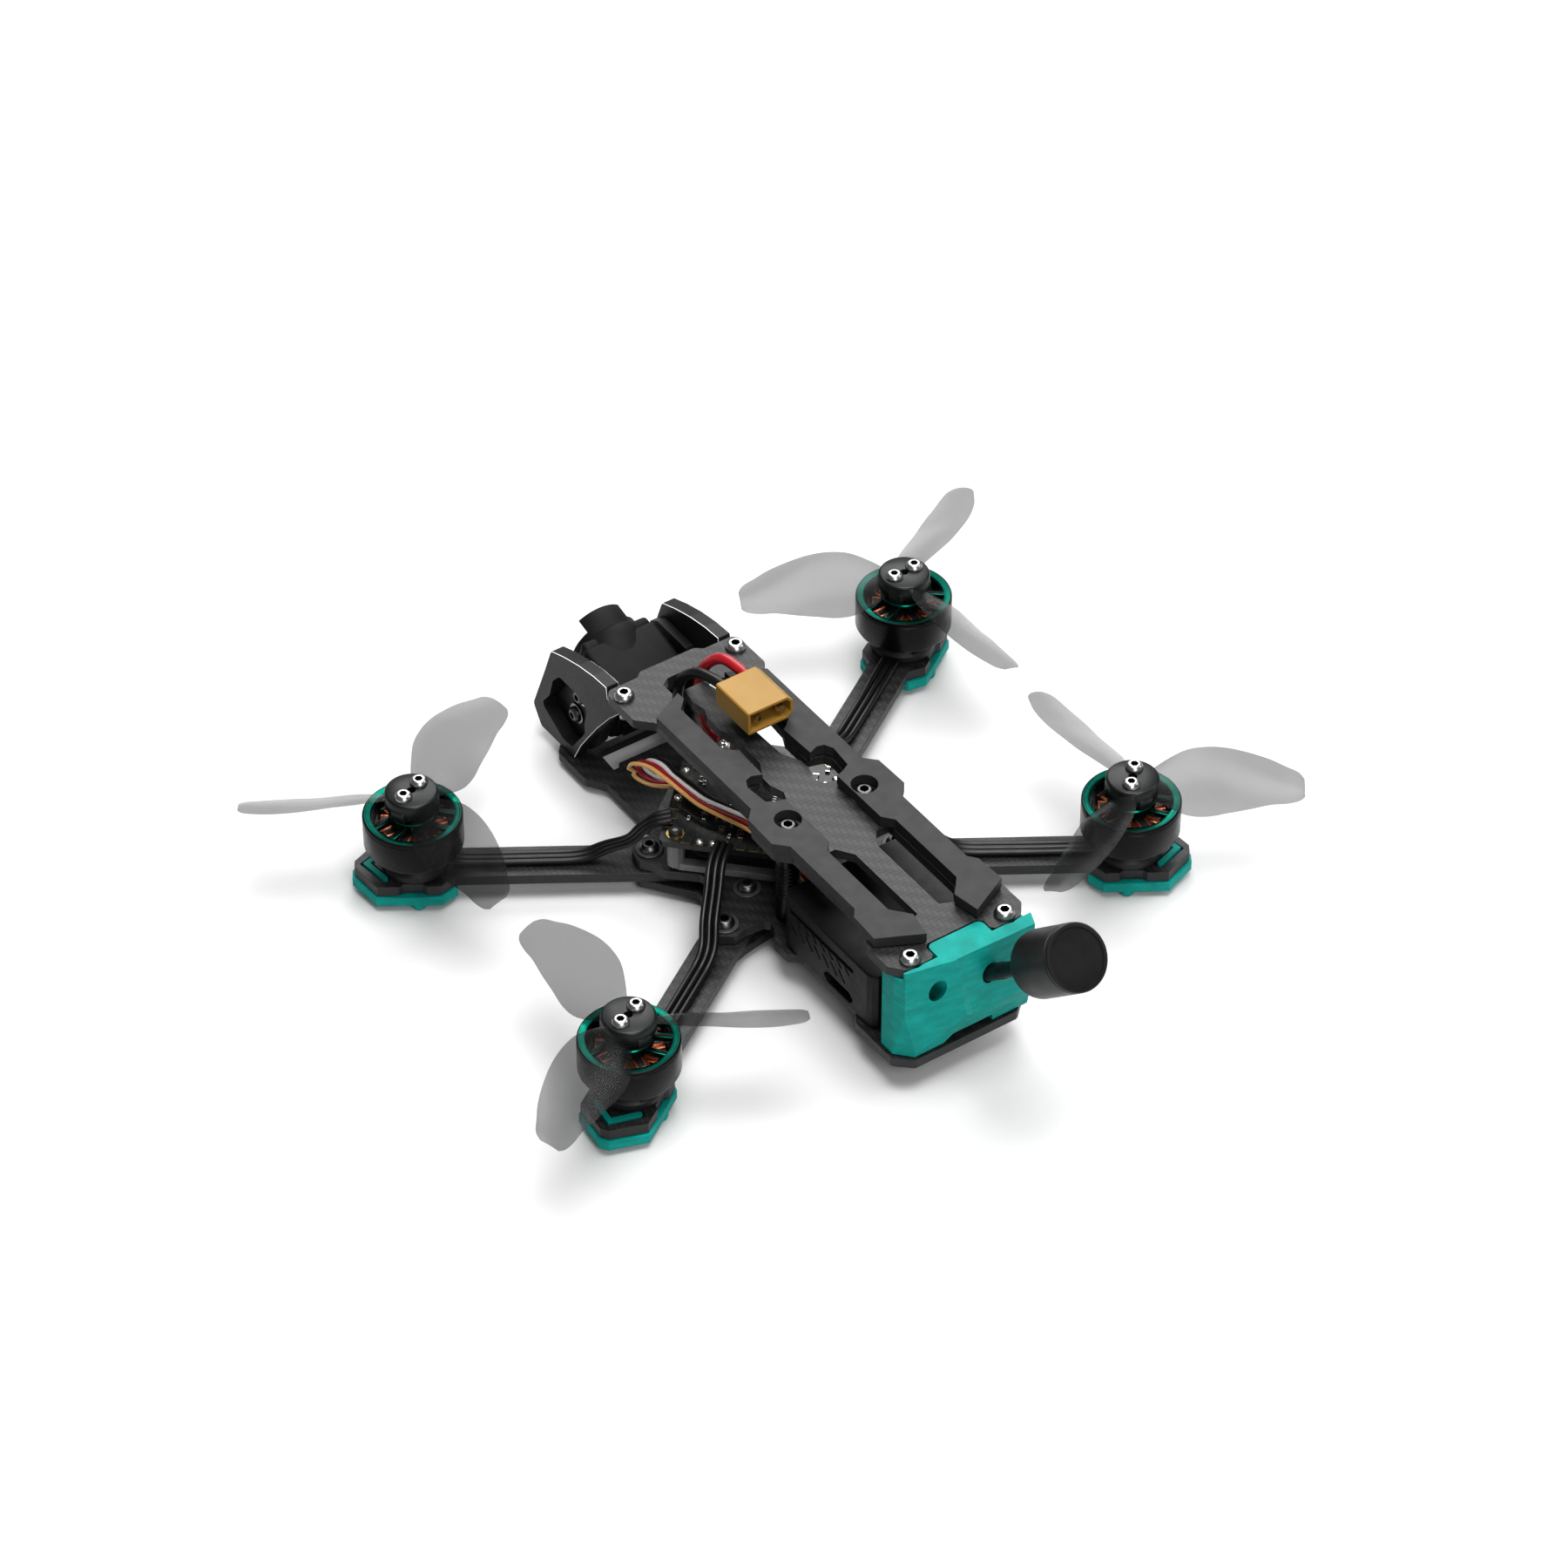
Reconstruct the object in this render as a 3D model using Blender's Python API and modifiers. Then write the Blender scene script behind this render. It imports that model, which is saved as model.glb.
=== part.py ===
"""Quadcopter drone with an X frame, a tilting camera and four motors.

Frame: +Z up, -Y is the camera end, +X is the drone's left. The origin is the centre of the lower
plate's underside, midway between the four motor axes. Driving sizes are in millimetres.
"""
import math

import bmesh
import bpy
from mathutils import Matrix, Vector

MM = 0.001
GAP = 0.3                      # clearance between pieces that touch
NAME = "quadcopter_drone"

# Frame plates: heights of each layer
LOWER_Z = (0.0, 1.8)
ARM_Z = (2.1, 4.3)
MAIN_Z = (4.6, 6.6)
TOP_Z = (26.4, 28.4)
PAD_Z = (28.7, 30.9)

# Arms and motors
MOTOR_X = 56.65
MOTOR_Y = 36.8
FOOT_Z = (-0.2, 1.8)
CORNERS = {"front_left": (1, -1), "rear_left": (1, 1), "front_right": (-1, -1), "rear_right": (-1, 1)}
ARM_HALF_WIDTH = 4.1
ARM_ROOT_SCREWS = (12.6, 23.3)
MOTOR_BOLT_RADIUS = 4.5        # 9 mm bolt circle
M2_HOLE = 2.4

BELL_RADIUS = 9.5
BELL_Z = (9.6, 17.1)
HUB_Z = (18.1, 22.7)
HUB_RADIUS = 5.1
PROP_RADIUS = 32.5
PROP_SCREW_PITCH = 5.0
BLADES = 3
BLADE_ANGLE = {"front_left": 86.2, "rear_left": 32.4, "front_right": 95.2, "rear_right": 25.0}
SCREW_ANGLE = {"front_left": -157.0, "rear_left": -157.0, "front_right": -176.0, "rear_right": -134.0}
SPIN = {"front_left": 1, "rear_left": -1, "front_right": -1, "rear_right": 1}

# Deck screws and spacers
FRONT_SCREW = (12.75, -30.9)
MID_SCREW = (8.6, 17.5)
REAR_SCREW = (10.5, 58.7)
SPACER_RADIUS = 2.3

# Camera cage and camera
CAGE_X = (11.4, 14.2)
CAMERA_PIVOT = (-50.2, 10.0)
CAMERA_CENTRE = (-47.0, 14.3)
CAMERA_PITCH = 15.0
TILT_SCREW_ANGLE = 72.5
TILT_SLOT_RADIUS = 6.0
CAMERA_HALF_WIDTH = 8.3
BARREL_RADIUS = 7.3
BARREL_END = 11.5              # the barrel's rim and its petals' rims, in front of the camera's centre
PETAL_END = 14.7

# Electronics
BOARD_CENTRE_Y = -6.0
BOARD_POST_REACH = 18.0
BOARD_HALF_DIAGONAL = 21.3
BOARD_HALF_SIDE = 15.4
BOARD_Z = (13.6, 14.8)
AIR_UNIT_X = 13.6
AIR_UNIT_Y = (22.6, 52.2)
AIR_UNIT_Z = (6.9, 19.6)

# Antenna
ANTENNA_FOOT = (-4.0, 63.6, 21.2)
ANTENNA_END = (-5.3, 86.8, 42.2)
SPARE_FOOT = (7.2, 62.9, 22.2)
ANTENNA_RADIUS = 1.5
CAP_RADIUS = 6.35
CAP_LENGTH = 14.0
MOUNT_HOLE_RADIUS = 1.75

# Battery lead
PLUG_X = (-8.6, 1.6)
PLUG_Y = (-16.4, -5.6)
PLUG_Z = (31.2, 36.4)
PIN_X = (-6.1, -0.9)
LEAD_DIAMETER = 2.2


def clear_scene():
    """Empty the file that Blender opens with."""
    for item in list(bpy.data.objects):
        bpy.data.objects.remove(item, do_unlink=True)


def material(name, colour, roughness, metallic=0.0):
    """One Principled material."""
    made = bpy.data.materials.new(name)
    made.use_nodes = True
    shader = made.node_tree.nodes["Principled BSDF"]
    shader.inputs["Base Color"].default_value = (*colour, 1.0)
    shader.inputs["Roughness"].default_value = roughness
    shader.inputs["Metallic"].default_value = metallic
    return made


def make_materials():
    """Every finish that the drone shows."""
    return {
        "carbon": material("carbon_fibre", (0.045, 0.045, 0.048), 0.42),
        "aluminium": material("black_aluminium", (0.07, 0.07, 0.075), 0.35, 0.8),
        "steel": material("polished_steel", (0.7, 0.7, 0.7), 0.2, 1.0),
        "pad": material("battery_pad_rubber", (0.1, 0.1, 0.1), 0.6),
        "teal": material("teal_print", (0.015, 0.38, 0.31), 0.55),
        "bell": material("bell_anodised", (0.01, 0.01, 0.011), 0.25, 0.9),
        "stator": material("stator_steel", (0.05, 0.05, 0.05), 0.4, 0.8),
        "prop": material("smoke_propeller", (0.16, 0.16, 0.16), 0.15),
        "silicone": material("black_silicone", (0.012, 0.012, 0.012), 0.45),
        "board": material("circuit_board", (0.01, 0.012, 0.011), 0.35),
        "spacer": material("grey_board_frame", (0.3, 0.3, 0.3), 0.5),
        "plastic": material("black_plastic", (0.03, 0.03, 0.032), 0.5),
        "camera": material("camera_plastic", (0.035, 0.035, 0.037), 0.5),
        "glass": material("lens_glass", (0.005, 0.005, 0.008), 0.05),
        "plug": material("amber_nylon", (0.72, 0.42, 0.07), 0.45),
        "gold": material("gold_pin", (0.9, 0.65, 0.2), 0.2, 1.0),
        "red": material("red_silicone", (0.45, 0.01, 0.015), 0.4),
        "harness": material("harness_wires", (0.45, 0.27, 0.08), 0.5),
    }


def link(item):
    """Put an object in the drone's collection."""
    PARTS.objects.link(item)
    return item


def finish_mesh(name, shape, finish):
    """Turn a bmesh in millimetres into a named object in metres."""
    bmesh.ops.remove_doubles(shape, verts=shape.verts, dist=1e-4)
    bmesh.ops.recalc_face_normals(shape, faces=shape.faces)
    bmesh.ops.scale(shape, vec=(MM, MM, MM), verts=shape.verts)
    mesh = bpy.data.meshes.new(name)
    shape.to_mesh(mesh)
    shape.free()
    if finish is not None:
        mesh.materials.append(finish)
    return link(bpy.data.objects.new(name, mesh))


def fillet(points, radius, steps=4):
    """Round each corner of a closed outline with an arc; radius may be one value or one per corner."""
    rounded = []
    count = len(points)
    for index, corner in enumerate(points):
        reach = radius[index] if isinstance(radius, (list, tuple)) else radius
        here = Vector(corner)
        back = Vector(points[index - 1]) - here
        ahead = Vector(points[(index + 1) % count]) - here
        half = back.angle(ahead) / 2
        if reach <= 0 or half > math.radians(88):
            rounded.append(tuple(here))
            continue
        trim = min(reach / math.tan(half), 0.45 * back.length, 0.45 * ahead.length)
        bow = trim * math.tan(half)
        centre = here + (back.normalized() + ahead.normalized()).normalized() * (bow / math.sin(half))
        start = here + back.normalized() * trim - centre
        end = here + ahead.normalized() * trim - centre
        turn = start.angle_signed(end)
        for step in range(steps + 1):
            rounded.append(tuple(centre + Matrix.Rotation(-turn * step / steps, 2) @ start))
    return rounded


def circle(centre, radius, sides=10):
    """Points of a round hole."""
    turns = [2 * math.pi * side / sides for side in range(sides)]
    return [(centre[0] + radius * math.cos(turn), centre[1] + radius * math.sin(turn)) for turn in turns]


def slab(name, outline, levels, finish, holes=()):
    """A flat plate: a filled 2D curve, extruded between two heights, made a mesh."""
    curve = bpy.data.curves.new(name, "CURVE")
    curve.dimensions = "2D"
    curve.fill_mode = "BOTH"
    curve.extrude = (levels[1] - levels[0]) / 2 * MM
    for loop in [outline, *holes]:
        spline = curve.splines.new("POLY")
        spline.points.add(len(loop) - 1)
        for point, place in zip(spline.points, loop):
            point.co = (place[0] * MM, place[1] * MM, 0, 1)
        spline.use_cyclic_u = True
    item = link(bpy.data.objects.new(name, curve))
    item.location = (0, 0, (levels[0] + levels[1]) / 2 * MM)
    return named(curve_to_mesh(item), name, finish)


def curve_to_mesh(item):
    """Replace a curve object by the welded mesh that it shows, at the same place."""
    bpy.context.view_layer.update()
    seen = item.evaluated_get(bpy.context.evaluated_depsgraph_get())
    mesh = bpy.data.meshes.new_from_object(seen)
    place = item.matrix_world.copy()
    name = item.name
    curve = item.data
    bpy.data.objects.remove(item, do_unlink=True)
    bpy.data.curves.remove(curve)
    welded = bmesh.new()
    welded.from_mesh(mesh)
    bmesh.ops.remove_doubles(welded, verts=welded.verts, dist=1e-7)
    bmesh.ops.recalc_face_normals(welded, faces=welded.faces)
    welded.to_mesh(mesh)
    welded.free()
    made = bpy.data.objects.new(name, mesh)
    made.matrix_world = place
    return link(made)


def named(item, name, finish):
    """Give a piece its name and its one finish."""
    item.name = name
    item.data.materials.clear()
    item.data.materials.append(finish)
    return item


def smooth(item, sharp=35.0):
    """Shade a piece smooth and keep every edge that turns more than an angle crisp."""
    item.data.shade_smooth()
    item.data.set_sharp_from_angle(angle=math.radians(sharp))


def stand_up(item, offset=0.0):
    """Turn a slab drawn in (y, z) so that its thickness runs along X, and move it along X."""
    turn = Matrix(((0, 0, 1, offset * MM), (1, 0, 0, 0), (0, 1, 0, 0), (0, 0, 0, 1)))
    item.data.transform(turn @ item.matrix_world)
    item.matrix_world = Matrix.Identity(4)
    return item


def turned(name, profile, centre, finish, sides=24, axis=None):
    """A lathe shape: a closed profile of (radius, height) turned round a vertical axis with Screw."""
    shape = bmesh.new()
    spots = [shape.verts.new((radius * MM, 0, height * MM)) for radius, height in profile]
    for first, second in zip(spots, spots[1:]):
        shape.edges.new((first, second))
    if profile[0][0] > 0:
        shape.edges.new((spots[-1], spots[0]))
    mesh = bpy.data.meshes.new(name)
    shape.to_mesh(mesh)
    shape.free()
    mesh.materials.append(finish)
    item = link(bpy.data.objects.new(name, mesh))
    item.location = Vector(centre) * MM
    if axis is not None:
        item.rotation_mode = "QUATERNION"
        item.rotation_quaternion = Vector((0, 0, 1)).rotation_difference(Vector(axis))
    screw = item.modifiers.new("turn", "SCREW")
    screw.steps = sides
    screw.render_steps = sides
    screw.use_merge_vertices = True
    screw.merge_threshold = 0.000005
    screw.use_normal_calculate = True
    return item


def applied(item):
    """Bake an object's modifiers into its mesh."""
    bpy.context.view_layer.update()
    seen = item.evaluated_get(bpy.context.evaluated_depsgraph_get())
    mesh = bpy.data.meshes.new_from_object(seen)
    item.modifiers.clear()
    item.data = mesh
    return outward(item)


def outward(item):
    """Make every face of a solid point outwards."""
    shape = bmesh.new()
    shape.from_mesh(item.data)
    bmesh.ops.recalc_face_normals(shape, faces=shape.faces)
    shape.to_mesh(item.data)
    shape.free()
    return item


def block(low, high, name="block", finish=None, bevel=0.0, segments=2):
    """A box between two corners, with rounded edges where asked."""
    shape = bmesh.new()
    bmesh.ops.create_cube(shape, size=1.0)
    size = [high[axis] - low[axis] for axis in range(3)]
    middle = [(high[axis] + low[axis]) / 2 for axis in range(3)]
    bmesh.ops.scale(shape, vec=size, verts=shape.verts)
    bmesh.ops.translate(shape, vec=middle, verts=shape.verts)
    if bevel > 0:
        bmesh.ops.bevel(shape, geom=shape.edges[:], offset=bevel, segments=segments, affect="EDGES",
                        profile=0.5)
    return finish_mesh(name, shape, finish)


def rod(start, end, radius, name="rod", finish=None, sides=20):
    """A solid round bar between two points."""
    first = Vector(start)
    run = Vector(end) - first
    shape = bmesh.new()
    bmesh.ops.create_cone(shape, cap_ends=True, segments=sides, radius1=radius, radius2=radius,
                          depth=run.length)
    turn = Vector((0, 0, 1)).rotation_difference(run).to_matrix().to_4x4()
    shape.transform(Matrix.Translation(first + run / 2) @ turn)
    return finish_mesh(name, shape, finish)


def combine(item, other, operation):
    """Join or cut one solid with another and keep the result as the first solid's mesh."""
    step = item.modifiers.new(operation.lower(), "BOOLEAN")
    step.operation = operation
    step.solver = "EXACT"
    step.object = other
    applied(item)
    bpy.data.objects.remove(other, do_unlink=True)
    return item


def cut(item, *cutters):
    """Take each cutter out of a solid."""
    for cutter in cutters:
        combine(item, cutter, "DIFFERENCE")
    return item


def join(item, *others):
    """Join solids that overlap into one body."""
    for other in others:
        combine(item, other, "UNION")
    return item


def mirror_outline(half):
    """Close a half outline, drawn from the front centre to the rear centre on +X, across X = 0."""
    other = [(-x, y) for x, y in reversed(half) if x > 0]
    return list(half) + other


def mirrored(outline):
    """The same closed outline on the other side of X = 0."""
    return [(-x, y) for x, y in reversed(outline)]


def arm_axes(corner):
    """Outward and sideways unit vectors of one arm."""
    side, end = CORNERS[corner]
    ahead = Vector((side * MOTOR_X, end * MOTOR_Y)).normalized()
    sideways = Vector((-side * ahead.y, side * ahead.x))
    return ahead, sideways


def on_arm(corner, along, across):
    """A point at a distance along an arm from the frame's centre, and across it."""
    ahead, sideways = arm_axes(corner)
    place = ahead * along + sideways * across
    return (place.x, place.y)


def smooth_path(points, spacing):
    """Points read at even steps from a smooth curve through the route's own points."""
    spots = [Vector(point) for point in points]
    spots = [2 * spots[0] - spots[1], *spots, 2 * spots[-1] - spots[-2]]
    dense = []
    for index in range(1, len(spots) - 2):
        before, here, there, after = spots[index - 1:index + 3]
        for step in range(24):
            t = step / 24
            dense.append(0.5 * (2 * here + (there - before) * t
                                + (2 * before - 5 * here + 4 * there - after) * t * t
                                + (3 * here - before - 3 * there + after) * t ** 3))
    dense.append(spots[-2])
    lengths = [0.0]
    for first, second in zip(dense, dense[1:]):
        lengths.append(lengths[-1] + (second - first).length)
    count = max(3, round(lengths[-1] / spacing))
    even = []
    index = 0
    for step in range(count + 1):
        target = lengths[-1] * step / count
        while index < len(dense) - 2 and lengths[index + 1] < target:
            index += 1
        share = (target - lengths[index]) / max(lengths[index + 1] - lengths[index], 1e-9)
        even.append(dense[index].lerp(dense[index + 1], share))
    return bends_only(even)


def bends_only(path, least=5.0):
    """Drop the points of a path that lie on a nearly straight run."""
    kept = [path[0]]
    for index in range(1, len(path) - 1):
        turn = (path[index] - kept[-1]).angle(path[index + 1] - path[index])
        if turn > math.radians(least):
            kept.append(path[index])
    return [*kept, path[-1]]


def tube(name, route, diameter, finish, spacing=2.5):
    """A wire: a POLY curve with a round bevel, along a smooth route."""
    curve = bpy.data.curves.new(name, "CURVE")
    curve.dimensions = "3D"
    curve.bevel_depth = diameter / 2 * MM
    curve.bevel_resolution = 2
    curve.use_fill_caps = True
    path = smooth_path(route, spacing * diameter)
    spline = curve.splines.new("POLY")
    spline.points.add(len(path) - 1)
    for point, place in zip(spline.points, path):
        point.co = (*(place * MM), 1)
    return named(curve_to_mesh(link(bpy.data.objects.new(name, curve))), name, finish)


def ribbon(name, route, strands, pitch, diameter, finish, spacing=1.6):
    """Wires lying side by side as one flat ribbon, swept with its flat side level."""
    section = []
    for strand in range(strands):
        middle = (strand - (strands - 1) / 2) * pitch
        for step in range(3):
            turn = math.pi - math.pi * (step + 0.5) / 3
            section.append((middle + diameter / 2 * math.cos(turn), diameter / 2 * math.sin(turn)))
    section += [(-across, -up) for across, up in section]
    path = smooth_path(route, spacing)
    shape = bmesh.new()
    rings = []
    across = Vector()
    for index, place in enumerate(path):
        ahead = path[min(index + 1, len(path) - 1)] - path[max(index - 1, 0)]
        flip = 1 if across.dot((ahead.y, -ahead.x, 0)) >= 0 else -1
        across = Vector((ahead.y, -ahead.x, 0)).normalized() * flip
        up = across.cross(ahead.normalized())
        rings.append([shape.verts.new(place + across * x + up * z) for x, z in section])
    for first, second in zip(rings, rings[1:]):
        for index in range(len(section)):
            after = (index + 1) % len(section)
            shape.faces.new((first[index], first[after], second[after], second[index]))
    shape.faces.new(rings[0])
    shape.faces.new(list(reversed(rings[-1])))
    return finish_mesh(name, shape, finish)


# ---------------------------------------------------------------- frame plates

def arm_lobe(corner):
    """Outline points of a plate's lobe round an arm's outer root screw."""
    reach = ARM_ROOT_SCREWS[1]
    lobe = [(reach - 0.6, -4.1), (reach + 2.2, -3.2), (reach + 3.4, 0.0), (reach + 2.2, 3.2),
            (reach - 0.6, 4.1)]
    return [on_arm(corner, along, across) for along, across in lobe]


def root_holes():
    """Screw holes through the arm roots."""
    places = [on_arm(corner, along, 0) for corner in CORNERS for along in ARM_ROOT_SCREWS]
    return [circle(place, M2_HOLE / 2) for place in places]


def board_holes():
    """Holes for the four posts of the flight controller."""
    return [(0, BOARD_CENTRE_Y - BOARD_POST_REACH), (0, BOARD_CENTRE_Y + BOARD_POST_REACH),
            (BOARD_POST_REACH, BOARD_CENTRE_Y), (-BOARD_POST_REACH, BOARD_CENTRE_Y)]


def lower_plate(finish):
    """Plate under the arms; its nose carries the camera cage."""
    half = [(0, -48.0), (6.5, -48.0), (8.5, -52.5), (14.0, -52.5), (15.6, -50.6), (15.6, -41.0),
            (13.0, -37.4), (13.0, -21.5)]
    half += arm_lobe("front_left")
    half += [(15.8, -1.8), (15.8, 1.8)]
    half += arm_lobe("rear_left")
    half += [(9.3, 14.6), (6.0, 18.0), (0, 18.0)]
    window = [(-9.2, -46.3), (9.2, -46.3), (9.6, -40.2), (8.4, -40.2), (7.6, -41.3), (-7.6, -41.3),
              (-8.4, -40.2), (-9.6, -40.2)]
    cage_holes = [circle((side * 12.8, -49.5), M2_HOLE / 2) for side in (1, -1)]
    outline = fillet(mirror_outline(half), 0.8, 1)
    return slab("lower_plate", outline, LOWER_Z, finish, [window] + root_holes() + cage_holes)


def main_plate(finish):
    """Plate over the arms; it runs back to the tail under the air unit."""
    half = [(0, -26.5), (5.0, -26.5), (11.0, -22.0)]
    half += arm_lobe("front_left")
    half += [(20.4, -6.0), (15.4, -1.2), (15.4, 1.6)]
    half += arm_lobe("rear_left")
    half += [(12.0, 16.2), (12.7, 19.2), (14.6, 21.9), (14.6, 25.8), (12.4, 27.9), (12.4, 44.6),
             (14.7, 48.2), (14.7, 59.4), (11.5, 62.3), (0, 62.3)]
    slots = [fillet([(side * 3.5, 30.5), (side * 8.5, 30.5), (side * 8.5, 47.0), (side * 3.5, 47.0)], 1.5, 2)
             for side in (1, -1)]
    lead = fillet([(-4.0, -20.0), (4.0, -20.0), (4.0, -14.0), (-4.0, -14.0)], 1.2, 2)
    posts = [circle(place, M2_HOLE / 2) for place in board_holes()]
    deck = [circle((side * place[0], place[1]), M2_HOLE / 2) for side in (1, -1)
            for place in (MID_SCREW, REAR_SCREW)]
    outline = fillet(mirror_outline(half), 0.8, 1)
    return slab("main_plate", outline, MAIN_Z, finish, slots + [lead] + root_holes() + posts + deck)


def top_plate(finish):
    """Deck under the battery, with a spine between two long openings."""
    half = [(0, -35.4), (6.2, -35.4), (7.6, -34.2), (14.0, -34.2), (15.0, -33.0), (15.0, -24.2),
            (12.0, -21.2), (12.0, 11.2), (14.2, 13.6), (14.4, 21.4), (12.0, 24.0), (12.0, 47.4),
            (15.0, 51.4), (15.0, 57.8), (12.6, 60.7), (6.3, 60.7), (6.3, 57.0), (0, 57.0)]
    outer_edge = [(2.8, -30.8), (4.7, -29.6), (4.7, -26.4), (6.8, -23.6), (7.2, -18.0), (6.4, -6.0),
                  (5.2, -3.4), (5.2, 3.4), (8.6, 4.4), (9.3, 6.2), (9.0, 10.6), (7.4, 11.6)]
    spine = [(4.2, 10.6), (3.4, 8.6), (4.4, 5.6), (4.4, 3.2), (2.4, -0.6), (2.1, -9.4), (3.2, -12.6),
             (3.2, -17.0), (2.3, -19.4), (3.0, -22.4), (2.2, -26.2)]
    opening = outer_edge + spine + mirrored(spine) + mirrored(outer_edge)
    strap = [(2.4, 30.2), (4.6, 27.0), (7.4, 27.0), (7.4, 47.2), (5.2, 50.8), (2.4, 49.6)]
    holes = [opening, strap, mirrored(strap)]
    for side in (1, -1):
        for place in (FRONT_SCREW, MID_SCREW, REAR_SCREW):
            holes.append(circle((side * place[0], place[1]), M2_HOLE / 2))
    return slab("top_plate", fillet(mirror_outline(half), 0.8, 1), TOP_Z, finish, holes)


def battery_pads(finish):
    """Two rubber pads that the battery rests on, one on each side of the spine."""
    outline = [(5.3, -23.7), (12.6, -20.0), (12.6, 11.3), (14.7, 13.5), (14.9, 21.4), (12.5, 23.9),
               (12.5, 44.2), (13.9, 46.0), (14.2, 52.7), (5.6, 57.0), (4.6, 51.4), (7.6, 47.8),
               (7.6, 28.8), (5.8, 26.6), (5.8, 12.6), (7.4, 12.2), (9.2, 11.2), (9.7, 6.0),
               (8.8, 4.2), (7.4, 3.8), (5.4, 4.6), (5.1, -3.6), (7.5, -5.6), (7.5, -19.4), (5.3, -21.6)]
    well = circle(MID_SCREW, 2.6, 16)
    left = slab("battery_pad_left", outline, PAD_Z, finish, [well])
    right = slab("battery_pad_right", mirrored(outline), PAD_Z, finish, [mirrored(well)])
    return left, right


def arm(corner, finish):
    """A carbon arm with an eight-sided motor seat and a V slot for the foot's tab."""
    reach = math.hypot(MOTOR_X, MOTOR_Y)
    half = [(8.0, 0.0), (9.4, 4.1), (reach - 7.6, 4.1), (reach - 4.9, 6.7), (reach - 2.3, 6.7),
            (reach - 1.5, 6.0), (reach + 2.3, 6.0), (reach + 3.1, 6.7), (reach + 7.1, 6.7),
            (reach + 11.5, 0.9)]
    outline = half + [(along, -across) for along, across in reversed(half) if across > 0]
    holes = [circle(on_arm(corner, along, 0), M2_HOLE / 2) for along in ARM_ROOT_SCREWS]
    for step in range(4):
        turn = math.radians(45 + 90 * step)
        holes.append(circle(on_arm(corner, reach + MOTOR_BOLT_RADIUS * math.cos(turn),
                                   MOTOR_BOLT_RADIUS * math.sin(turn)), 0.95, 8))
    holes.append(circle(on_arm(corner, reach, 0), 1.8, 10))
    slot = foot_tab_outline(GAP + 0.65)
    holes.append([on_arm(corner, reach + along, across) for along, across in slot])
    flat = [on_arm(corner, along, across) for along, across in outline]
    return slab(f"arm_{corner}", flat, ARM_Z, finish, holes)


def foot_tab_outline(half_width):
    """Outline of the V-shaped tab along an arm's two outer edges, round at its ends."""
    point, rise, run = 9.2, 4.3, 3.6
    lean = math.atan2(rise, run)
    miter = half_width / math.sin(lean)
    tip = []
    for step in range(4):
        turn = math.pi / 2 - lean + math.pi * step / 3
        tip.append((point - run + half_width * math.cos(turn), rise + half_width * math.sin(turn)))
    half = [(point + miter, 0.0), *tip, (point - miter, 0.0)]
    return half + [(x, -y) for x, y in reversed(half[1:-1])]


def foot(corner, finish):
    """A printed landing pad under an arm's end: a plate, two nubs and the V tab through the arm."""
    reach = math.hypot(MOTOR_X, MOTOR_Y)
    half = [(-7.9, 4.4), (-5.1, 7.0), (7.3, 7.0), (12.0, 1.0)]
    outline = half + [(along, -across) for along, across in reversed(half)]
    flat = [on_arm(corner, reach + along, across) for along, across in outline]
    opening = [(1.5, 2.3), (-1.5, 2.3), (-2.6, 0.0), (-1.5, -2.3), (1.5, -2.3), (2.6, 0.0)]
    hole = [on_arm(corner, reach + along, across) for along, across in opening]
    plate = slab(f"foot_{corner}", flat, FOOT_Z, finish, [hole])
    tab = slab("tab", [on_arm(corner, reach + x, y) for x, y in foot_tab_outline(0.55)],
               (FOOT_Z[1] - 0.5, ARM_Z[1] + 0.25), finish)
    nubs = []
    for along, across in ((9.0, 0.0), (-0.6, 5.6), (-0.6, -5.6)):
        place = on_arm(corner, reach + along, across)
        nubs.append(applied(turned("nub", [(0, -1.8), (1.0, -1.8), (1.5, -1.2), (1.5, 0.8), (0, 0.8)],
                                   (*place, 0), finish, 10)))
    return join(plate, tab, *nubs)


# ---------------------------------------------------------------- motors and propellers

def motor_base(corner, finish):
    """The still half of a motor: bolted foot, bearing tube and stator drum."""
    profile = [(0.9, 4.6), (6.4, 4.6), (6.4, 6.2), (4.8, 7.6), (4.8, 9.4), (7.5, 10.2), (7.5, 14.4),
               (6.9, 15.1), (0.9, 15.1)]
    side, end = CORNERS[corner]
    return applied(turned(f"motor_base_{corner}", profile, (side * MOTOR_X, end * MOTOR_Y, 0), finish, 16))


def bell(corner, finish):
    """The turning half of a motor: skirt, slanted spokes in pairs, hub and shaft."""
    side, end = CORNERS[corner]
    low, high = BELL_Z
    outer = BELL_RADIUS
    skirt = [(outer - 1.2, low), (outer - 0.6, low), (outer, low + 0.9), (outer, high - 0.3),
             (outer - 0.3, high), (outer - 1.7, high), (outer - 1.7, high - 1.0), (outer - 1.2, high - 1.4)]
    made = applied(turned(f"bell_{corner}", skirt, (0, 0, 0), finish, 28))
    hub = [(0, 5.4), (0.75, 5.4), (0.75, 15.6), (3.4, 15.6), (4.6, 16.2), (4.6, 17.9), (0, 17.9)]
    made = join(made, applied(turned("hub", hub, (0, 0, 0), finish, 16)))
    for pair in range(3):
        for slant in (-1, 1):
            turn = Matrix.Rotation(math.radians(120 * pair + 12 + 30 * slant), 4, "Z")
            lean = Matrix.Rotation(math.radians(-24 * slant), 4, "Z")
            spoke = block((3.6, -0.75, 15.8), (outer - 1.2, 0.75, high - 0.1), "spoke")
            shift = Matrix.Translation(Vector((3.6 * MM, 0, 0)))
            spoke.data.transform(turn @ shift @ lean @ shift.inverted())
            made = join(made, spoke)
    made.location = Vector((side * MOTOR_X, end * MOTOR_Y, 0)) * MM
    return made


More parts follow.
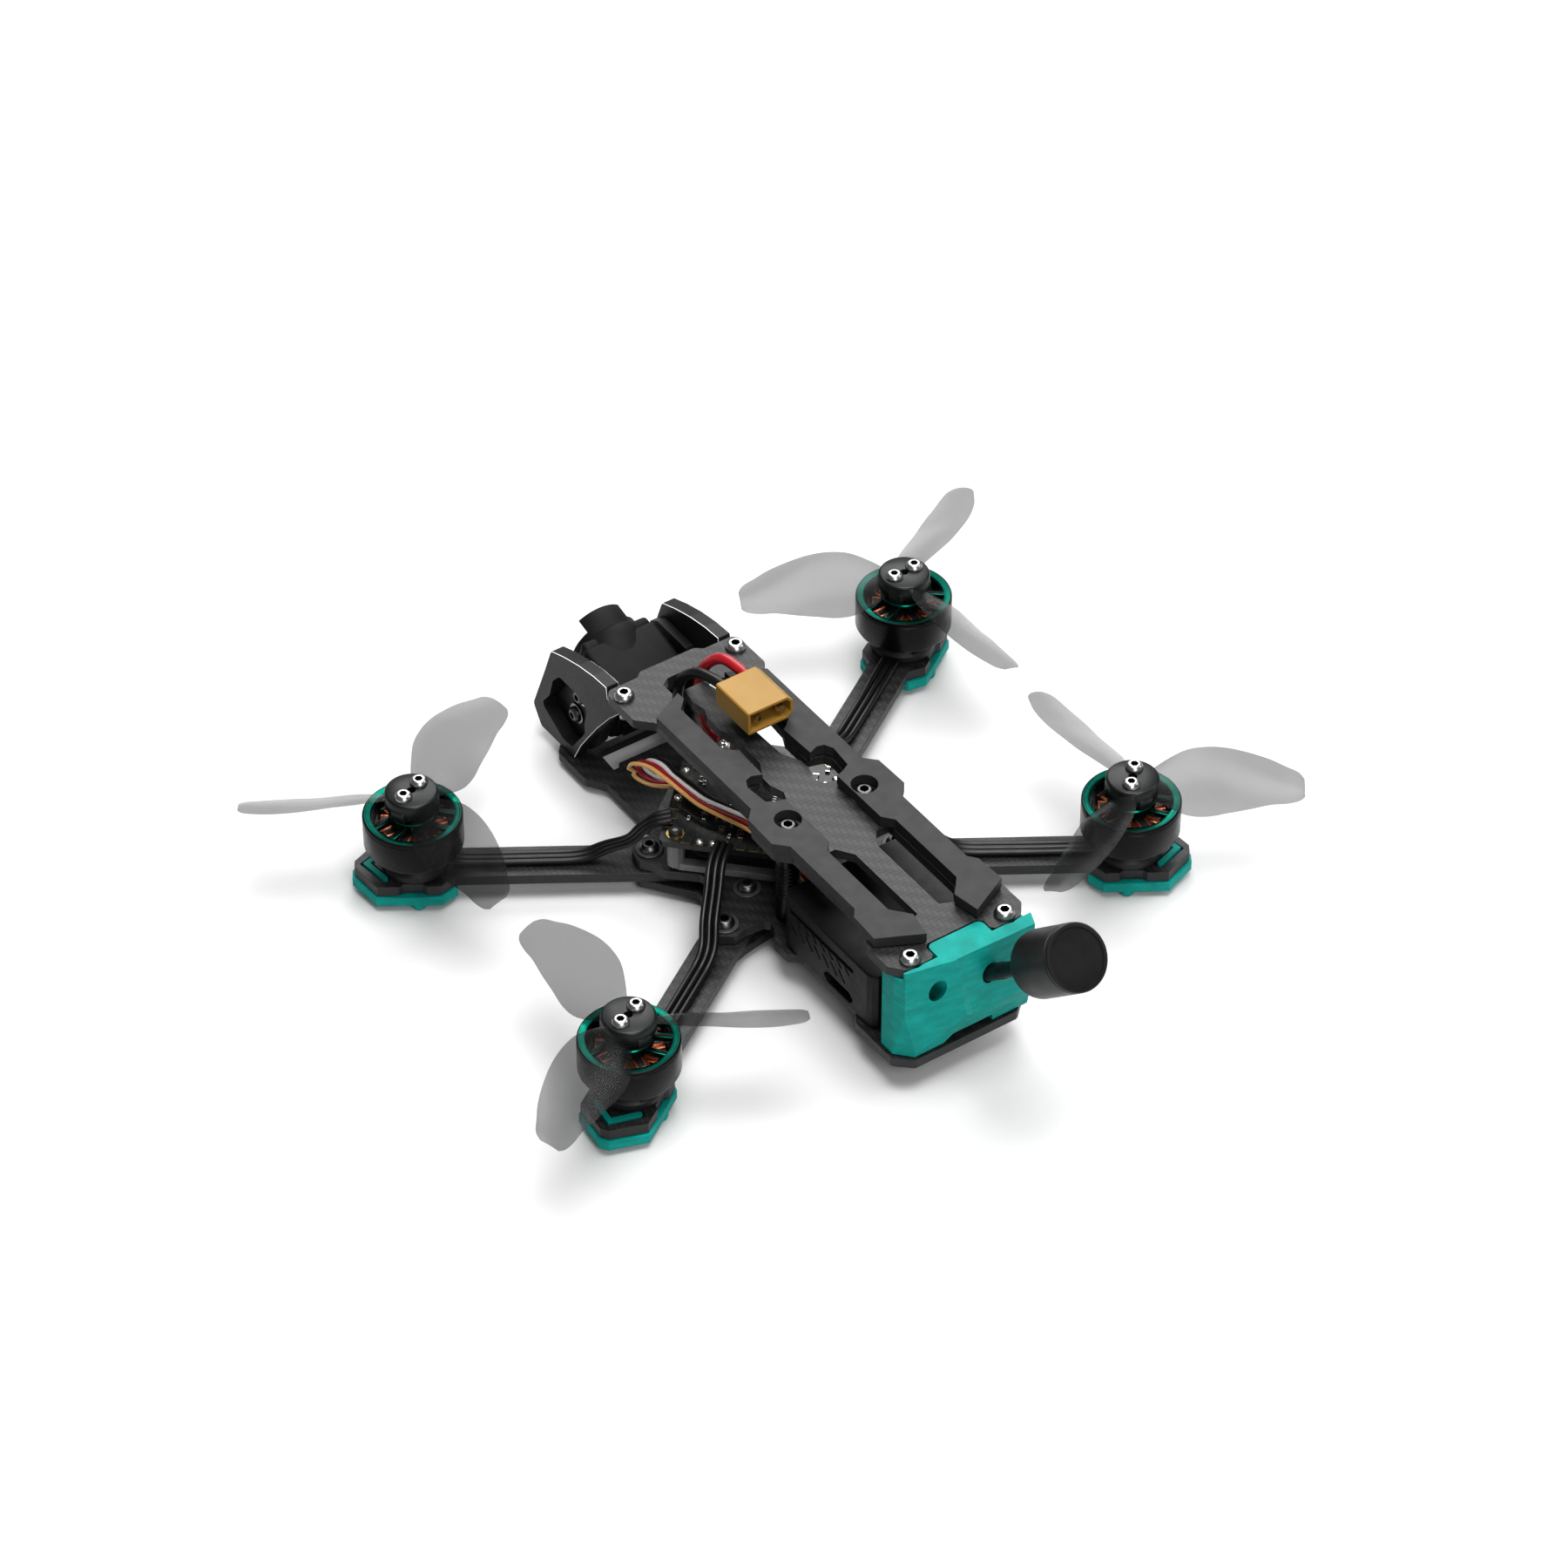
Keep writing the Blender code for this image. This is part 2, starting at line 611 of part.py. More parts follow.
def blade_sections():
    """Radius, leading and trailing edge offsets, middle height and pitch angle of each blade section."""
    return [(3.2, 2.6, -2.6, 20.6, 36.0), (6.0, 4.6, -4.0, 20.6, 35.0), (10.0, 6.9, -5.7, 20.4, 34.0),
            (14.0, 7.9, -5.7, 20.0, 34.0), (18.0, 8.05, -4.75, 19.65, 32.2), (22.0, 7.4, -4.0, 19.55, 28.5),
            (26.0, 6.35, -3.05, 19.4, 25.2), (29.0, 5.1, -2.7, 19.2, 23.5), (31.4, 4.0, -2.1, 19.15, 22.0),
            (32.5, 2.6, -1.2, 19.15, 22.0)]


def blade(angle, spin):
    """One cambered blade, swept through sections from the hub out to a rounded tip."""
    shape = bmesh.new()
    rings = []
    for radius, lead, trail, height, pitch in blade_sections():
        chord = lead - trail
        thick = 0.75 - 0.35 * radius / PROP_RADIUS
        lift = 0.055 * chord
        upper, lower = [], []
        for step in range(5):
            share = step / 4
            across = lead - chord * share
            arch = 4 * lift * share * (1 - share)
            body = thick * (0.35 + 1.3 * math.sqrt(share) * (1 - share)) / 2
            upper.append((across, arch + body))
            lower.append((across, arch - body))
        ring = []
        tilt = math.radians(pitch)
        for across, up in upper + list(reversed(lower)):
            side = across * math.cos(tilt) - up * math.sin(tilt)
            rise = across * math.sin(tilt) + up * math.cos(tilt)
            ring.append(shape.verts.new((radius, side * spin, height + rise)))
        rings.append(ring)
    count = len(rings[0])
    for first, second in zip(rings, rings[1:]):
        for index in range(count):
            after = (index + 1) % count
            shape.faces.new((first[index], first[after], second[after], second[index]))
    for ring in (rings[0], rings[-1]):
        shape.faces.new(ring)
    shape.transform(Matrix.Rotation(math.radians(angle), 4, "Z"))
    return finish_mesh("blade", shape, None)


def propeller(corner, finish):
    """A three-blade propeller with a low glossy hub and two screw holes."""
    side, end = CORNERS[corner]
    low, high = HUB_Z
    hub = [(0.85, low + 0.1), (HUB_RADIUS, low + 0.1), (HUB_RADIUS, high - 0.6), (HUB_RADIUS - 0.6, high),
           (0.85, high)]
    made = applied(turned(f"propeller_{corner}", hub, (0, 0, 0), finish, 24))
    for step in range(BLADES):
        made = join(made, blade(BLADE_ANGLE[corner] + 360 / BLADES * step, SPIN[corner]))
    turn = math.radians(SCREW_ANGLE[corner])
    reach = PROP_SCREW_PITCH / 2
    for way in (1, -1):
        x, y = way * reach * math.cos(turn), way * reach * math.sin(turn)
        made = cut(made, rod((x, y, low - 2), (x, y, high + 2), 1.1, sides=10))
    made.location = Vector((side * MOTOR_X, end * MOTOR_Y, 0)) * MM
    return made


def motor_leads(corner, finish):
    """Three motor wires side by side along the arm's top, rising to the flight controller's edge."""
    reach = math.hypot(MOTOR_X, MOTOR_Y)
    top = ARM_Z[1] + 0.9
    front = corner.startswith("front")
    side = CORNERS[corner][0]
    route = [(*on_arm(corner, reach - 6.9, 0), top + 0.2), (*on_arm(corner, reach - 12, 0), top),
             (*on_arm(corner, 44.0, 0), top), (*on_arm(corner, 36.0, 0), top + 0.3),
             (*on_arm(corner, 31.5, 0), top + 2.2)]
    if front:
        route += [(side * 23.6, -13.6, 10.4), (side * 21.3, -12.2, 13.2), (side * 19.2, -10.9, 15.2),
                  (side * 16.6, -9.4, 15.9)]
    else:
        route += [(side * 22.9, 12.6, 9.6), (side * 19.6, 9.0, 12.4), (side * 16.4, 5.4, 14.9),
                  (side * 12.6, 2.4, 15.9)]
    return ribbon(f"motor_leads_{corner}", route, 3, 1.25, 1.3, finish)


# ---------------------------------------------------------------- deck screws and spacers

def deck_screw(name, place, length, finish, top=TOP_Z[1]):
    """A button-head screw with a hexagon socket, standing in a deck hole."""
    under = top + GAP
    made = applied(turned(name, [(0, under - length), (0.95, under - length), (0.95, under), (2.0, under),
                                 (2.0, under + 0.35), (1.75, under + 0.95), (1.2, under + 1.3),
                                 (0, under + 1.3)], (*place, 0), finish, 14))
    hexagon = [(0, under + 0.4), (0.72, under + 0.4), (0.72, under + 2), (0, under + 2)]
    socket = applied(turned("socket", hexagon, (*place, 0), None, 6))
    return cut(made, socket)


def spacer(name, place, finish, low=MAIN_Z[1] + GAP, high=TOP_Z[0] - GAP):
    """A round aluminium spacer, bored from both ends, with grip grooves."""
    radius = SPACER_RADIUS
    bore, depth = 1.25, 6.5
    profile = [(0, low + depth), (bore, low + depth), (bore, low), (radius, low), (radius, high),
               (bore, high), (bore, high - depth), (0, high - depth)]
    return applied(turned(name, profile, (*place, 0), finish, 12))


# ---------------------------------------------------------------- camera end

def camera_plate(side, finish):
    """An upright cheek of the camera cage, with bevelled outer edges and a window onto the bracket."""
    outline = [(-34.6, 26.1), (-34.9, 28.6), (-39.5, 28.3), (-44.5, 27.4), (-49.5, 26.0), (-54.4, 24.2),
               (-57.0, 17.5), (-61.6, 6.2), (-58.9, 2.1), (-47.2, 2.1), (-44.7, 6.9), (-41.5, 11.6),
               (-38.4, 16.0), (-34.0, 21.5), (-30.2, 25.4), (-27.4, 26.1)]
    rounds = [0, 0, 0, 0, 0, 1.2, 0, 1.5, 1.0, 0, 0, 0, 0, 0, 0.6, 0]
    window = [(-58.4, 8.4), (-55.4, 12.4), (-54.0, 17.0), (-51.6, 19.6), (-45.9, 19.6), (-41.9, 18.2),
              (-43.0, 14.0), (-42.9, 11.4), (-47.7, 4.6), (-51.0, 4.4)]
    middle = side * (CAGE_X[0] + CAGE_X[1]) / 2
    name = "camera_plate_left" if side > 0 else "camera_plate_right"
    made = stand_up(slab(name, fillet(outline, rounds, 2), (-1.4, 1.4), finish), middle)
    chamfered(made, 0.4)
    opening = stand_up(slab("opening", fillet(window, 0.8, 1), (-4.0, 4.0), finish), middle)
    bore = rod((side * FRONT_SCREW[0], FRONT_SCREW[1], 20), (side * FRONT_SCREW[0], FRONT_SCREW[1], 30), 1.25,
               sides=12)
    return cut(made, opening, bore)


def chamfered(item, width):
    """Break a piece's sharp edges with a chamfer."""
    edge = item.modifiers.new("chamfer", "BEVEL")
    edge.width = width * MM
    edge.segments = 1
    edge.limit_method = "ANGLE"
    edge.angle_limit = math.radians(60)
    edge.use_clamp_overlap = True
    return applied(item)


def camera_bracket(side, finish):
    """A black bracket behind a cheek's window, with a pivot bore and an arc slot for the tilt screw."""
    outline = [(-60.4, 5.6), (-58.2, 12.4), (-55.2, 20.2), (-52.6, 21.8), (-43.0, 21.6), (-39.4, 16.4),
               (-42.8, 7.6), (-46.2, 3.4), (-57.4, 3.4)]
    pivot_y, pivot_z = CAMERA_PIVOT
    slot = []
    for radius, span in ((TILT_SLOT_RADIUS + 1.1, (-26, 26)), (TILT_SLOT_RADIUS - 1.1, (26, -26))):
        for step in range(7):
            turn = math.radians(TILT_SCREW_ANGLE + span[0] + (span[1] - span[0]) * step / 6)
            slot.append((pivot_y + radius * math.cos(turn), pivot_z + radius * math.sin(turn)))
    made = slab(f"camera_bracket_{'left' if side > 0 else 'right'}", outline, (-0.95, 0.95), finish,
                [circle(CAMERA_PIVOT, 1.0, 12), slot])
    return stand_up(made, side * (CAGE_X[0] - GAP - 0.95))


def in_camera_frame(item):
    """Pitch a shape made about the camera's centre and put it in place."""
    place = Matrix.Translation(Vector((0, CAMERA_CENTRE[0], CAMERA_CENTRE[1])) * MM)
    item.data.transform(place @ Matrix.Rotation(math.radians(-CAMERA_PITCH), 4, "X"))
    return item


def camera_body(finish):
    """The camera's housing: a rounded block, a stepped front and a barrel with two petals round the lens."""
    half = CAMERA_HALF_WIDTH
    made = block((-half, -7.7, -7.05), (half, 6.0, 7.05), "camera_body", finish, 1.1, 1)
    collar = block((-7.6, -9.4, -6.6), (7.6, -7.0, 6.6), "collar", finish, 0.9, 1)
    made = join(made, collar, rod((0, -PETAL_END, 0), (0, -5, 0), BARREL_RADIUS, sides=28))
    well = rod((0, -PETAL_END - 1, 0), (0, -8.6, 0), 5.9, sides=28)
    sides = [block((side * 4.5, -PETAL_END - 1, -9), (side * 9, -BARREL_END, 9)) for side in (1, -1)]
    fins = [block((-6.4, 4.9, z), (6.4, 7.0, z + 0.9)) for z in (-5.2, -3.0, -0.8, 1.4, 3.6)]
    made = in_camera_frame(cut(made, well, *sides, *fins))
    return on_pivot(cut(made, *[rod((-9, y, z), (9, y, z), 0.95, sides=10) for y, z in pivot_and_tilt()]))


def camera_lens(finish):
    """The lens cell: a ring with a domed front glass, sitting in the barrel."""
    profile = [(0, 8.9), (5.6, 8.9), (5.6, 11.4), (4.6, 11.2), (3.4, 11.8), (1.8, 12.3), (0, 12.4)]
    made = applied(turned("camera_lens", profile, (0, 0, 0), finish, 24))
    made.data.transform(Matrix.Rotation(math.radians(90), 4, "X"))
    return on_pivot(in_camera_frame(made))


def on_pivot(item):
    """Move a piece's origin to the tilt axis without moving its shape."""
    pivot = Vector((0, *CAMERA_PIVOT)) * MM
    item.data.transform(Matrix.Translation(-pivot))
    item.location = pivot
    return item


def pivot_and_tilt():
    """Where the camera's pivot screw and its tilt screw stand, in the (y, z) plane."""
    turn = math.radians(TILT_SCREW_ANGLE)
    y, z = CAMERA_PIVOT
    return [(y, z), (y + TILT_SLOT_RADIUS * math.cos(turn), z + TILT_SLOT_RADIUS * math.sin(turn))]


def pivot_screw(side, finish):
    """The camera's pivot screw, entering from the side: shank, washer and button head with a socket."""
    y, z = CAMERA_PIVOT
    outer = CAGE_X[0] - GAP
    profile = [(0, -5.2), (0.8, -5.2), (0.8, 0.1), (2.1, 0.1), (2.1, 0.5), (1.6, 0.5), (1.4, 1.2),
               (0, 1.35)]
    made = applied(turned(f"pivot_screw_{'left' if side > 0 else 'right'}", profile, (0, 0, 0), finish, 12))
    socket = [(0, 0.75), (0.6, 0.75), (0.6, 2), (0, 2)]
    made = cut(made, applied(turned("socket", socket, (0, 0, 0), None, 6)))
    made.data.transform(Matrix.Rotation(math.radians(90 * side), 4, "Y"))
    made.data.transform(Matrix.Translation(Vector((side * (outer + 0.1), 0, 0)) * MM))
    made.location = Vector((0, y, z)) * MM
    return made


# ---------------------------------------------------------------- electronics

def board_frame(finish):
    """The grey square frame on the main plate, with a soft post at each corner for the flight controller."""
    low = MAIN_Z[1] + GAP
    reach, band = 19.9, 1.9 * math.sqrt(2)
    ring = [(0, -reach), (reach, 0), (0, reach), (-reach, 0)]
    inner = [(0, -reach + band), (reach - band, 0), (0, reach - band), (-reach + band, 0)]
    ring, inner = [[(x, y + BOARD_CENTRE_Y) for x, y in loop] for loop in (ring, inner)]
    made = slab("board_frame", fillet(ring, 2.2, 2), (low, low + 1.5), finish, [inner])
    posts = []
    for x, y in board_holes():
        under, over = BOARD_Z[0] - GAP, BOARD_Z[1] + 0.9
        profile = [(0, low + 0.6), (1.75, low + 0.6), (1.75, under), (0.9, under), (0.9, over), (0, over)]
        posts.append(applied(turned("post", profile, (x, y, 0), finish, 10)))
    return join(made, *posts)


def flight_controller(finish):
    """The flight controller board, with cut corners, four post holes, chips and a socket underneath."""
    reach, far = BOARD_HALF_SIDE * math.sqrt(2), BOARD_HALF_DIAGONAL
    nick = reach - far
    loop = [(nick, -far), (far, -nick), (far, nick), (nick, far), (-nick, far), (-far, nick),
            (-far, -nick), (-nick, -far)]
    outline = [(x, y + BOARD_CENTRE_Y) for x, y in loop]
    holes = [circle(place, 1.3) for place in board_holes()]
    made = slab("flight_controller", outline, BOARD_Z, finish, holes)
    top, under = BOARD_Z[1] - 0.2, BOARD_Z[0] + 0.2
    turn = Matrix.Rotation(math.radians(45), 4, "Z")
    chips = [((-3.6, -3.6, top), (3.6, 3.6, top + 1.1)), ((5.6, -2.4, top), (9.4, 2.2, top + 1.0)),
             ((-9.6, -1.6, top), (-6.4, 1.6, top + 0.9)), ((-2.0, 6.4, top), (2.0, 9.2, top + 1.0)),
             ((-9.5, -9.5, under - 1.6), (9.5, 9.5, under)), ((-4.6, 11.0, under - 2.2), (4.6, 15.9, under))]
    for low, high in chips:
        chip = block(low, high)
        chip.data.transform(Matrix.Translation(Vector((0, BOARD_CENTRE_Y * MM, 0))) @ turn)
        made = join(made, chip)
    return made


def air_unit(finish):
    """The video transmitter: a rounded case with a USB mouth, a bar groove and rows of slanted vents."""
    low, high = AIR_UNIT_Z
    outline = [(AIR_UNIT_X, AIR_UNIT_Y[0]), (AIR_UNIT_X, AIR_UNIT_Y[1]), (-AIR_UNIT_X, AIR_UNIT_Y[1]),
               (-AIR_UNIT_X, AIR_UNIT_Y[0])]
    made = slab("air_unit", fillet(outline, 2.4, 3), AIR_UNIT_Z, finish)
    chamfered(made, 0.6)
    usb = block((AIR_UNIT_X - 4.5, 36.2, low + 1.0), (AIR_UNIT_X + 1, 45.6, low + 3.9), bevel=1.2, segments=1)
    bar = block((AIR_UNIT_X - 0.5, 25.5, high - 3.4), (AIR_UNIT_X + 1, 45.5, high - 2.4))
    made = cut(made, usb, bar)
    for row in range(2):
        for step in range(7):
            y = 26.4 + 2.6 * step + 1.3 * row
            z = low + 6.0 + 2.9 * row
            for side in (1, -1):
                vent = block((-0.6, -1.45, -0.26), (0.6, 1.45, 0.26))
                vent.data.transform(Matrix.Translation(Vector((side * AIR_UNIT_X, y, z)) * MM)
                                    @ Matrix.Rotation(math.radians(-45), 4, "X"))
                made = cut(made, vent)
    return made


# ---------------------------------------------------------------- tail

def prism(outline, levels, *cuts):
    """A convex upright block from an outline, cut off outside each plane given by a point and a normal."""
    shape = bmesh.new()
    rings = [[shape.verts.new((x, y, z)) for x, y in outline] for z in levels]
    for index in range(len(outline)):
        after = (index + 1) % len(outline)
        shape.faces.new((rings[0][index], rings[0][after], rings[1][after], rings[1][index]))
    shape.faces.new(rings[0])
    shape.faces.new(rings[1])
    for point, normal in cuts:
        everything = shape.verts[:] + shape.edges[:] + shape.faces[:]
        done = bmesh.ops.bisect_plane(shape, geom=everything, plane_co=point, plane_no=normal,
                                      clear_outer=True)
        edges = [part for part in done["geom_cut"] if isinstance(part, bmesh.types.BMEdge)]
        bmesh.ops.contextual_create(shape, geom=edges)
    return finish_mesh("prism", shape, None)


def prism_y(profile, start, stop):
    """A straight prism along Y from a profile in (x, z)."""
    shape = bmesh.new()
    ends = [[shape.verts.new((x, y, z)) for x, z in profile] for y in (start, stop)]
    for index in range(len(profile)):
        after = (index + 1) % len(profile)
        shape.faces.new((ends[0][index], ends[0][after], ends[1][after], ends[1][index]))
    shape.faces.new(ends[0])
    shape.faces.new(ends[1])
    return finish_mesh("prism", shape, None)


def antenna_mount(finish):
    """The printed tail block: it wraps the rear spacers, overlaps the deck's end and holds the antenna."""
    low, high, deck = MAIN_Z[1] + GAP, TOP_Z[0] - GAP, TOP_Z[1] + 0.1
    under = ((0, 62.3, 8.5), (0, 5.7, -1.8))
    step = ((3.9, 63.6, deck), (-12.8, 35.1, 3.4))
    left = prism([(14.1, 55.2), (14.1, 58.9), (13.5, 61.5), (-2.5, 65.0), (-2.5, 55.2)], (low, deck), under,
                 ((12.6, 61.4, 12.3), (1.0, 0.92, -0.18)), step)
    right = prism([(-14.4, 55.2), (-14.6, 61.2), (-13.5, 63.9), (4.2, 63.4), (4.2, 55.2)], (low, deck), under,
                  ((-13.5, 63.4, 12.3), (-1.0, 0.92, -0.18)))
    made = join(left, right)
    arch = prism_y([(-6.3, low - 1), (-5.6, 9.0), (3.2, 9.0), (5.7, low - 1)], 50, 68)
    ledge = block((-20, 50, high), (20, 61.0, high + 6))
    spacers = [rod((side * REAR_SCREW[0], REAR_SCREW[1], 0), (side * REAR_SCREW[0], REAR_SCREW[1], 30),
                   SPACER_RADIUS + GAP, sides=14) for side in (1, -1)]
    aim = (Vector(ANTENNA_END) - Vector(ANTENNA_FOOT)).normalized()
    bores = [rod(Vector(foot) - aim * 9.5, Vector(foot) + aim * 6, MOUNT_HOLE_RADIUS, sides=16)
             for foot in (ANTENNA_FOOT, SPARE_FOOT)]
    made = cut(made, arch, ledge, *spacers, *bores)
    lap = [(-6.0, 57.4), (6.0, 57.4), (6.0, 61.6), (-6.0, 61.6)]
    tongue = slab("tongue", fillet(lap, [1.2, 1.2, 0, 0], 3), (high - 0.6, deck), None)
    return named(join(made, tongue), "antenna_mount", finish)


def antenna_tube(finish):
    """The antenna's stiff coaxial stem, from inside the tail block into the cap."""
    foot_point, end = Vector(ANTENNA_FOOT), Vector(ANTENNA_END)
    aim = (end - foot_point).normalized()
    top = end - aim * (CAP_LENGTH - 5.0)
    return rod(foot_point - aim * 7.5, top, ANTENNA_RADIUS, "antenna_tube", finish, 14)


def antenna_cap(finish):
    """The antenna's plain round cap, hollow where the stem enters."""
    end = Vector(ANTENNA_END)
    aim = (end - Vector(ANTENNA_FOOT)).normalized()
    length, radius = CAP_LENGTH, CAP_RADIUS
    hole = ANTENNA_RADIUS + GAP
    profile = [(0, 5.4), (hole, 5.4), (hole, 0), (radius - 1.6, 0), (radius, 1.3), (radius, length - 0.6),
               (radius - 0.6, length), (0, length)]
    return applied(turned("antenna_cap", profile, end - aim * length, finish, 24, aim))


# ---------------------------------------------------------------- battery plug and wires

def plug_shell(finish):
    """The battery plug's nylon shell: one keyed corner, a deep mouth and a solid back with lead holes."""
    low, high = PLUG_Z
    near, far = PLUG_X
    key = 1.3
    section = [(near, low + key), (near + key, low), (far, low), (far, high), (near + key, high),
               (near, high - key)]
    made = named(prism_y(fillet(section, 0.25, 1), *PLUG_Y), "plug_shell", finish)
    wall = 0.6
    inner = [(near + wall, low + key + 0.2), (near + key + 0.2, low + wall), (far - wall, low + wall),
             (far - wall, high - wall), (near + key + 0.2, high - wall), (near + wall, high - key - 0.2)]
    made = cut(made, prism_y(inner, PLUG_Y[0] + 4.4, PLUG_Y[1] + 1))
    middle = (low + high) / 2
    for x in PIN_X:
        made = cut(made, rod((x, PLUG_Y[0] - 1, middle), (x, PLUG_Y[0] + 5, middle), 1.35, sides=12))
    return made


def plug_pin(name, x, finish):
    """A gold pin standing in the plug's mouth, with a solder cup behind."""
    middle = (PLUG_Z[0] + PLUG_Z[1]) / 2
    profile = [(0, 1.1), (1.02, 1.1), (1.02, 9.6), (0.7, 10.4), (0, 10.5)]
    return applied(turned(name, profile, (x, PLUG_Y[0], middle), finish, 10, (0, 1, 0)))


def battery_leads(red, black):
    """Two silicone leads from the plug's back, over the deck's front edge and down to the board."""
    middle = (PLUG_Z[0] + PLUG_Z[1]) / 2
    right = [(PIN_X[0], PLUG_Y[0] - GAP, middle), (-5.9, -19.6, 34.2), (-5.1, -23.8, 34.2),
             (-3.9, -27.0, 31.6), (-2.9, -28.4, 27.6), (-2.5, -28.3, 22.6), (-2.6, -27.0, 18.6),
             (-2.8, -24.6, 16.3), (-2.9, -21.8, 16.2)]
    left = [(PIN_X[1], PLUG_Y[0] - GAP, middle), (-0.5, -19.6, 34.0), (0.5, -24.0, 33.2),
            (1.6, -27.2, 30.6), (2.2, -28.4, 27.0), (2.4, -28.3, 22.6), (2.6, -27.0, 18.6),
            (2.8, -24.6, 16.3), (2.9, -21.8, 16.2)]
    tube("lead_red", right, LEAD_DIAMETER, red, 1.6)
    tube("lead_black", left, LEAD_DIAMETER, black, 1.6)


def harness(finish):
    """Signal wires: out from under the board's edge, up in a loop and back to the video unit."""
    route = [(6.0, -19.0, 12.6), (8.6, -21.6, 11.6), (11.4, -24.4, 11.5), (13.6, -26.6, 13.4),
             (13.5, -26.0, 16.2), (12.2, -22.4, 17.5), (11.2, -18.0, 17.4), (10.6, -13.4, 17.2),
             (10.0, -8.4, 17.2), (8.4, -3.8, 17.2), (6.4, 1.0, 17.0), (4.9, 6.5, 16.6), (4.2, 12.0, 15.8),
             (4.0, 17.6, 14.0), (4.0, 22.2, 13.2)]
    return ribbon("harness", route, 3, 1.15, 1.2, finish, 1.4)


# ---------------------------------------------------------------- assembly

def build_drone():
    """Make every piece in place."""
    finish = make_materials()
    lower_plate(finish["carbon"])
    main_plate(finish["carbon"])
    top_plate(finish["carbon"])
    battery_pads(finish["pad"])
    for corner in CORNERS:
        arm(corner, finish["carbon"])
        foot(corner, finish["teal"])
        motor_base(corner, finish["stator"])
        bell(corner, finish["bell"])
        propeller(corner, finish["prop"])
        motor_leads(corner, finish["silicone"])
    for side, word in ((1, "left"), (-1, "right")):
        camera_plate(side, finish["carbon"])
        camera_bracket(side, finish["plastic"])
        pivot_screw(side, finish["steel"])
        deck_screw(f"deck_screw_front_{word}", (side * FRONT_SCREW[0], FRONT_SCREW[1]), 5.5, finish["steel"])
        deck_screw(f"deck_screw_middle_{word}", (side * MID_SCREW[0], MID_SCREW[1]), 7.0, finish["steel"])
        deck_screw(f"deck_screw_rear_{word}", (side * REAR_SCREW[0], REAR_SCREW[1]), 7.0, finish["steel"])
        spacer(f"spacer_middle_{word}", (side * MID_SCREW[0], MID_SCREW[1]), finish["aluminium"])
        spacer(f"spacer_rear_{word}", (side * REAR_SCREW[0], REAR_SCREW[1]), finish["aluminium"])
    camera_body(finish["camera"])
    camera_lens(finish["glass"])
    board_frame(finish["spacer"])
    flight_controller(finish["board"])
    air_unit(finish["plastic"])
    antenna_mount(finish["teal"])
    antenna_tube(finish["silicone"])
    antenna_cap(finish["plastic"])
    plug_shell(finish["plug"])
    plug_pin("plug_pin_right", PIN_X[0], finish["gold"])
    plug_pin("plug_pin_left", PIN_X[1], finish["gold"])
    battery_leads(finish["red"], finish["silicone"])
    harness(finish["harness"])
    for item in PARTS.objects:
        smooth(item)


clear_scene()
PARTS = bpy.data.collections.new(NAME)
bpy.context.scene.collection.children.link(PARTS)
build_drone()
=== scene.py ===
"""Looks of the quadcopter drone: camera, light, cords, fine pieces and materials."""
import math
import random

import bmesh
import bpy
from mathutils import Matrix, Vector


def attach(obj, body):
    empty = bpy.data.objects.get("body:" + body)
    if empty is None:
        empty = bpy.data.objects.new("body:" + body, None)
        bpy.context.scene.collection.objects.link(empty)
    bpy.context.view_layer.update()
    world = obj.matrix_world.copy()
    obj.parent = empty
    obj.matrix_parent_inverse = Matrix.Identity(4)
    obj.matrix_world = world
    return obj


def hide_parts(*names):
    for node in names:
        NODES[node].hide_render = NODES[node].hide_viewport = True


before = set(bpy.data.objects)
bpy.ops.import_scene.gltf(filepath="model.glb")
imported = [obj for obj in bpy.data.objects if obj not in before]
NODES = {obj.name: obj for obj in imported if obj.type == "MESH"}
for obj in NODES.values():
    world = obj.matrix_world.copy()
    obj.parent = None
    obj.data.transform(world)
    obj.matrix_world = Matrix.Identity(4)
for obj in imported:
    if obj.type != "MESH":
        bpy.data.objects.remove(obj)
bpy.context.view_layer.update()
MM = 0.001
WAVE = 6283  # times a length in metres, over a pitch in millimetres, is a sine's angle

# -------------------- driving sizes, in millimetres
FLOOR = -1.8
VIEW_TARGET = (-0.94, 2.44, 23.8)
VIEW_DISTANCE = 1033.87
VIEW_AZIMUTH, VIEW_ELEVATION = 145.34, 41.41
LENS, SENSOR = 127.06, 36.0

CORNERS = {"front_left": (1, -1), "rear_left": (1, 1), "front_right": (-1, -1), "rear_right": (-1, 1)}
SIDES = ((1, "left"), (-1, "right"))
MOTOR_X, MOTOR_Y = 56.65, 36.8
REACH = math.hypot(MOTOR_X, MOTOR_Y)
ARM_TOP, MAIN_TOP, TOP_TOP = 4.3, 6.6, 28.4
ARM_SCREWS = (12.6, 23.3)
BELL_RADIUS, BELL_LOW, BELL_HIGH = 9.5, 9.6, 17.1
STATOR_TEETH, BOLT_CIRCLE = 9, 4.5 * 1.16
HUB_RADIUS, HUB_LOW, HUB_HIGH = 5.1, 18.2, 22.7
PROP_RADIUS = 32.5
BLADE_ANGLE = {"front_left": 86.2, "rear_left": 32.4, "front_right": 95.2, "rear_right": 25.0}
SCREW_ANGLE = {"front_left": -157.0, "rear_left": -157.0, "front_right": -176.0, "rear_right": -134.0}
SPIN = {"front_left": 1, "rear_left": -1, "front_right": -1, "rear_right": 1}
BOARD_Y, BOARD_TOP = -6.0, 14.8
BOARD_SIDE, BOARD_REACH = 15.4, 21.3
LEAD, MOTOR_WIRE, SIGNAL_WIRE = 2.2, 1.24, 0.85
CAMERA_CENTRE, CAMERA_PITCH = (-47.0, 14.3), 15.0
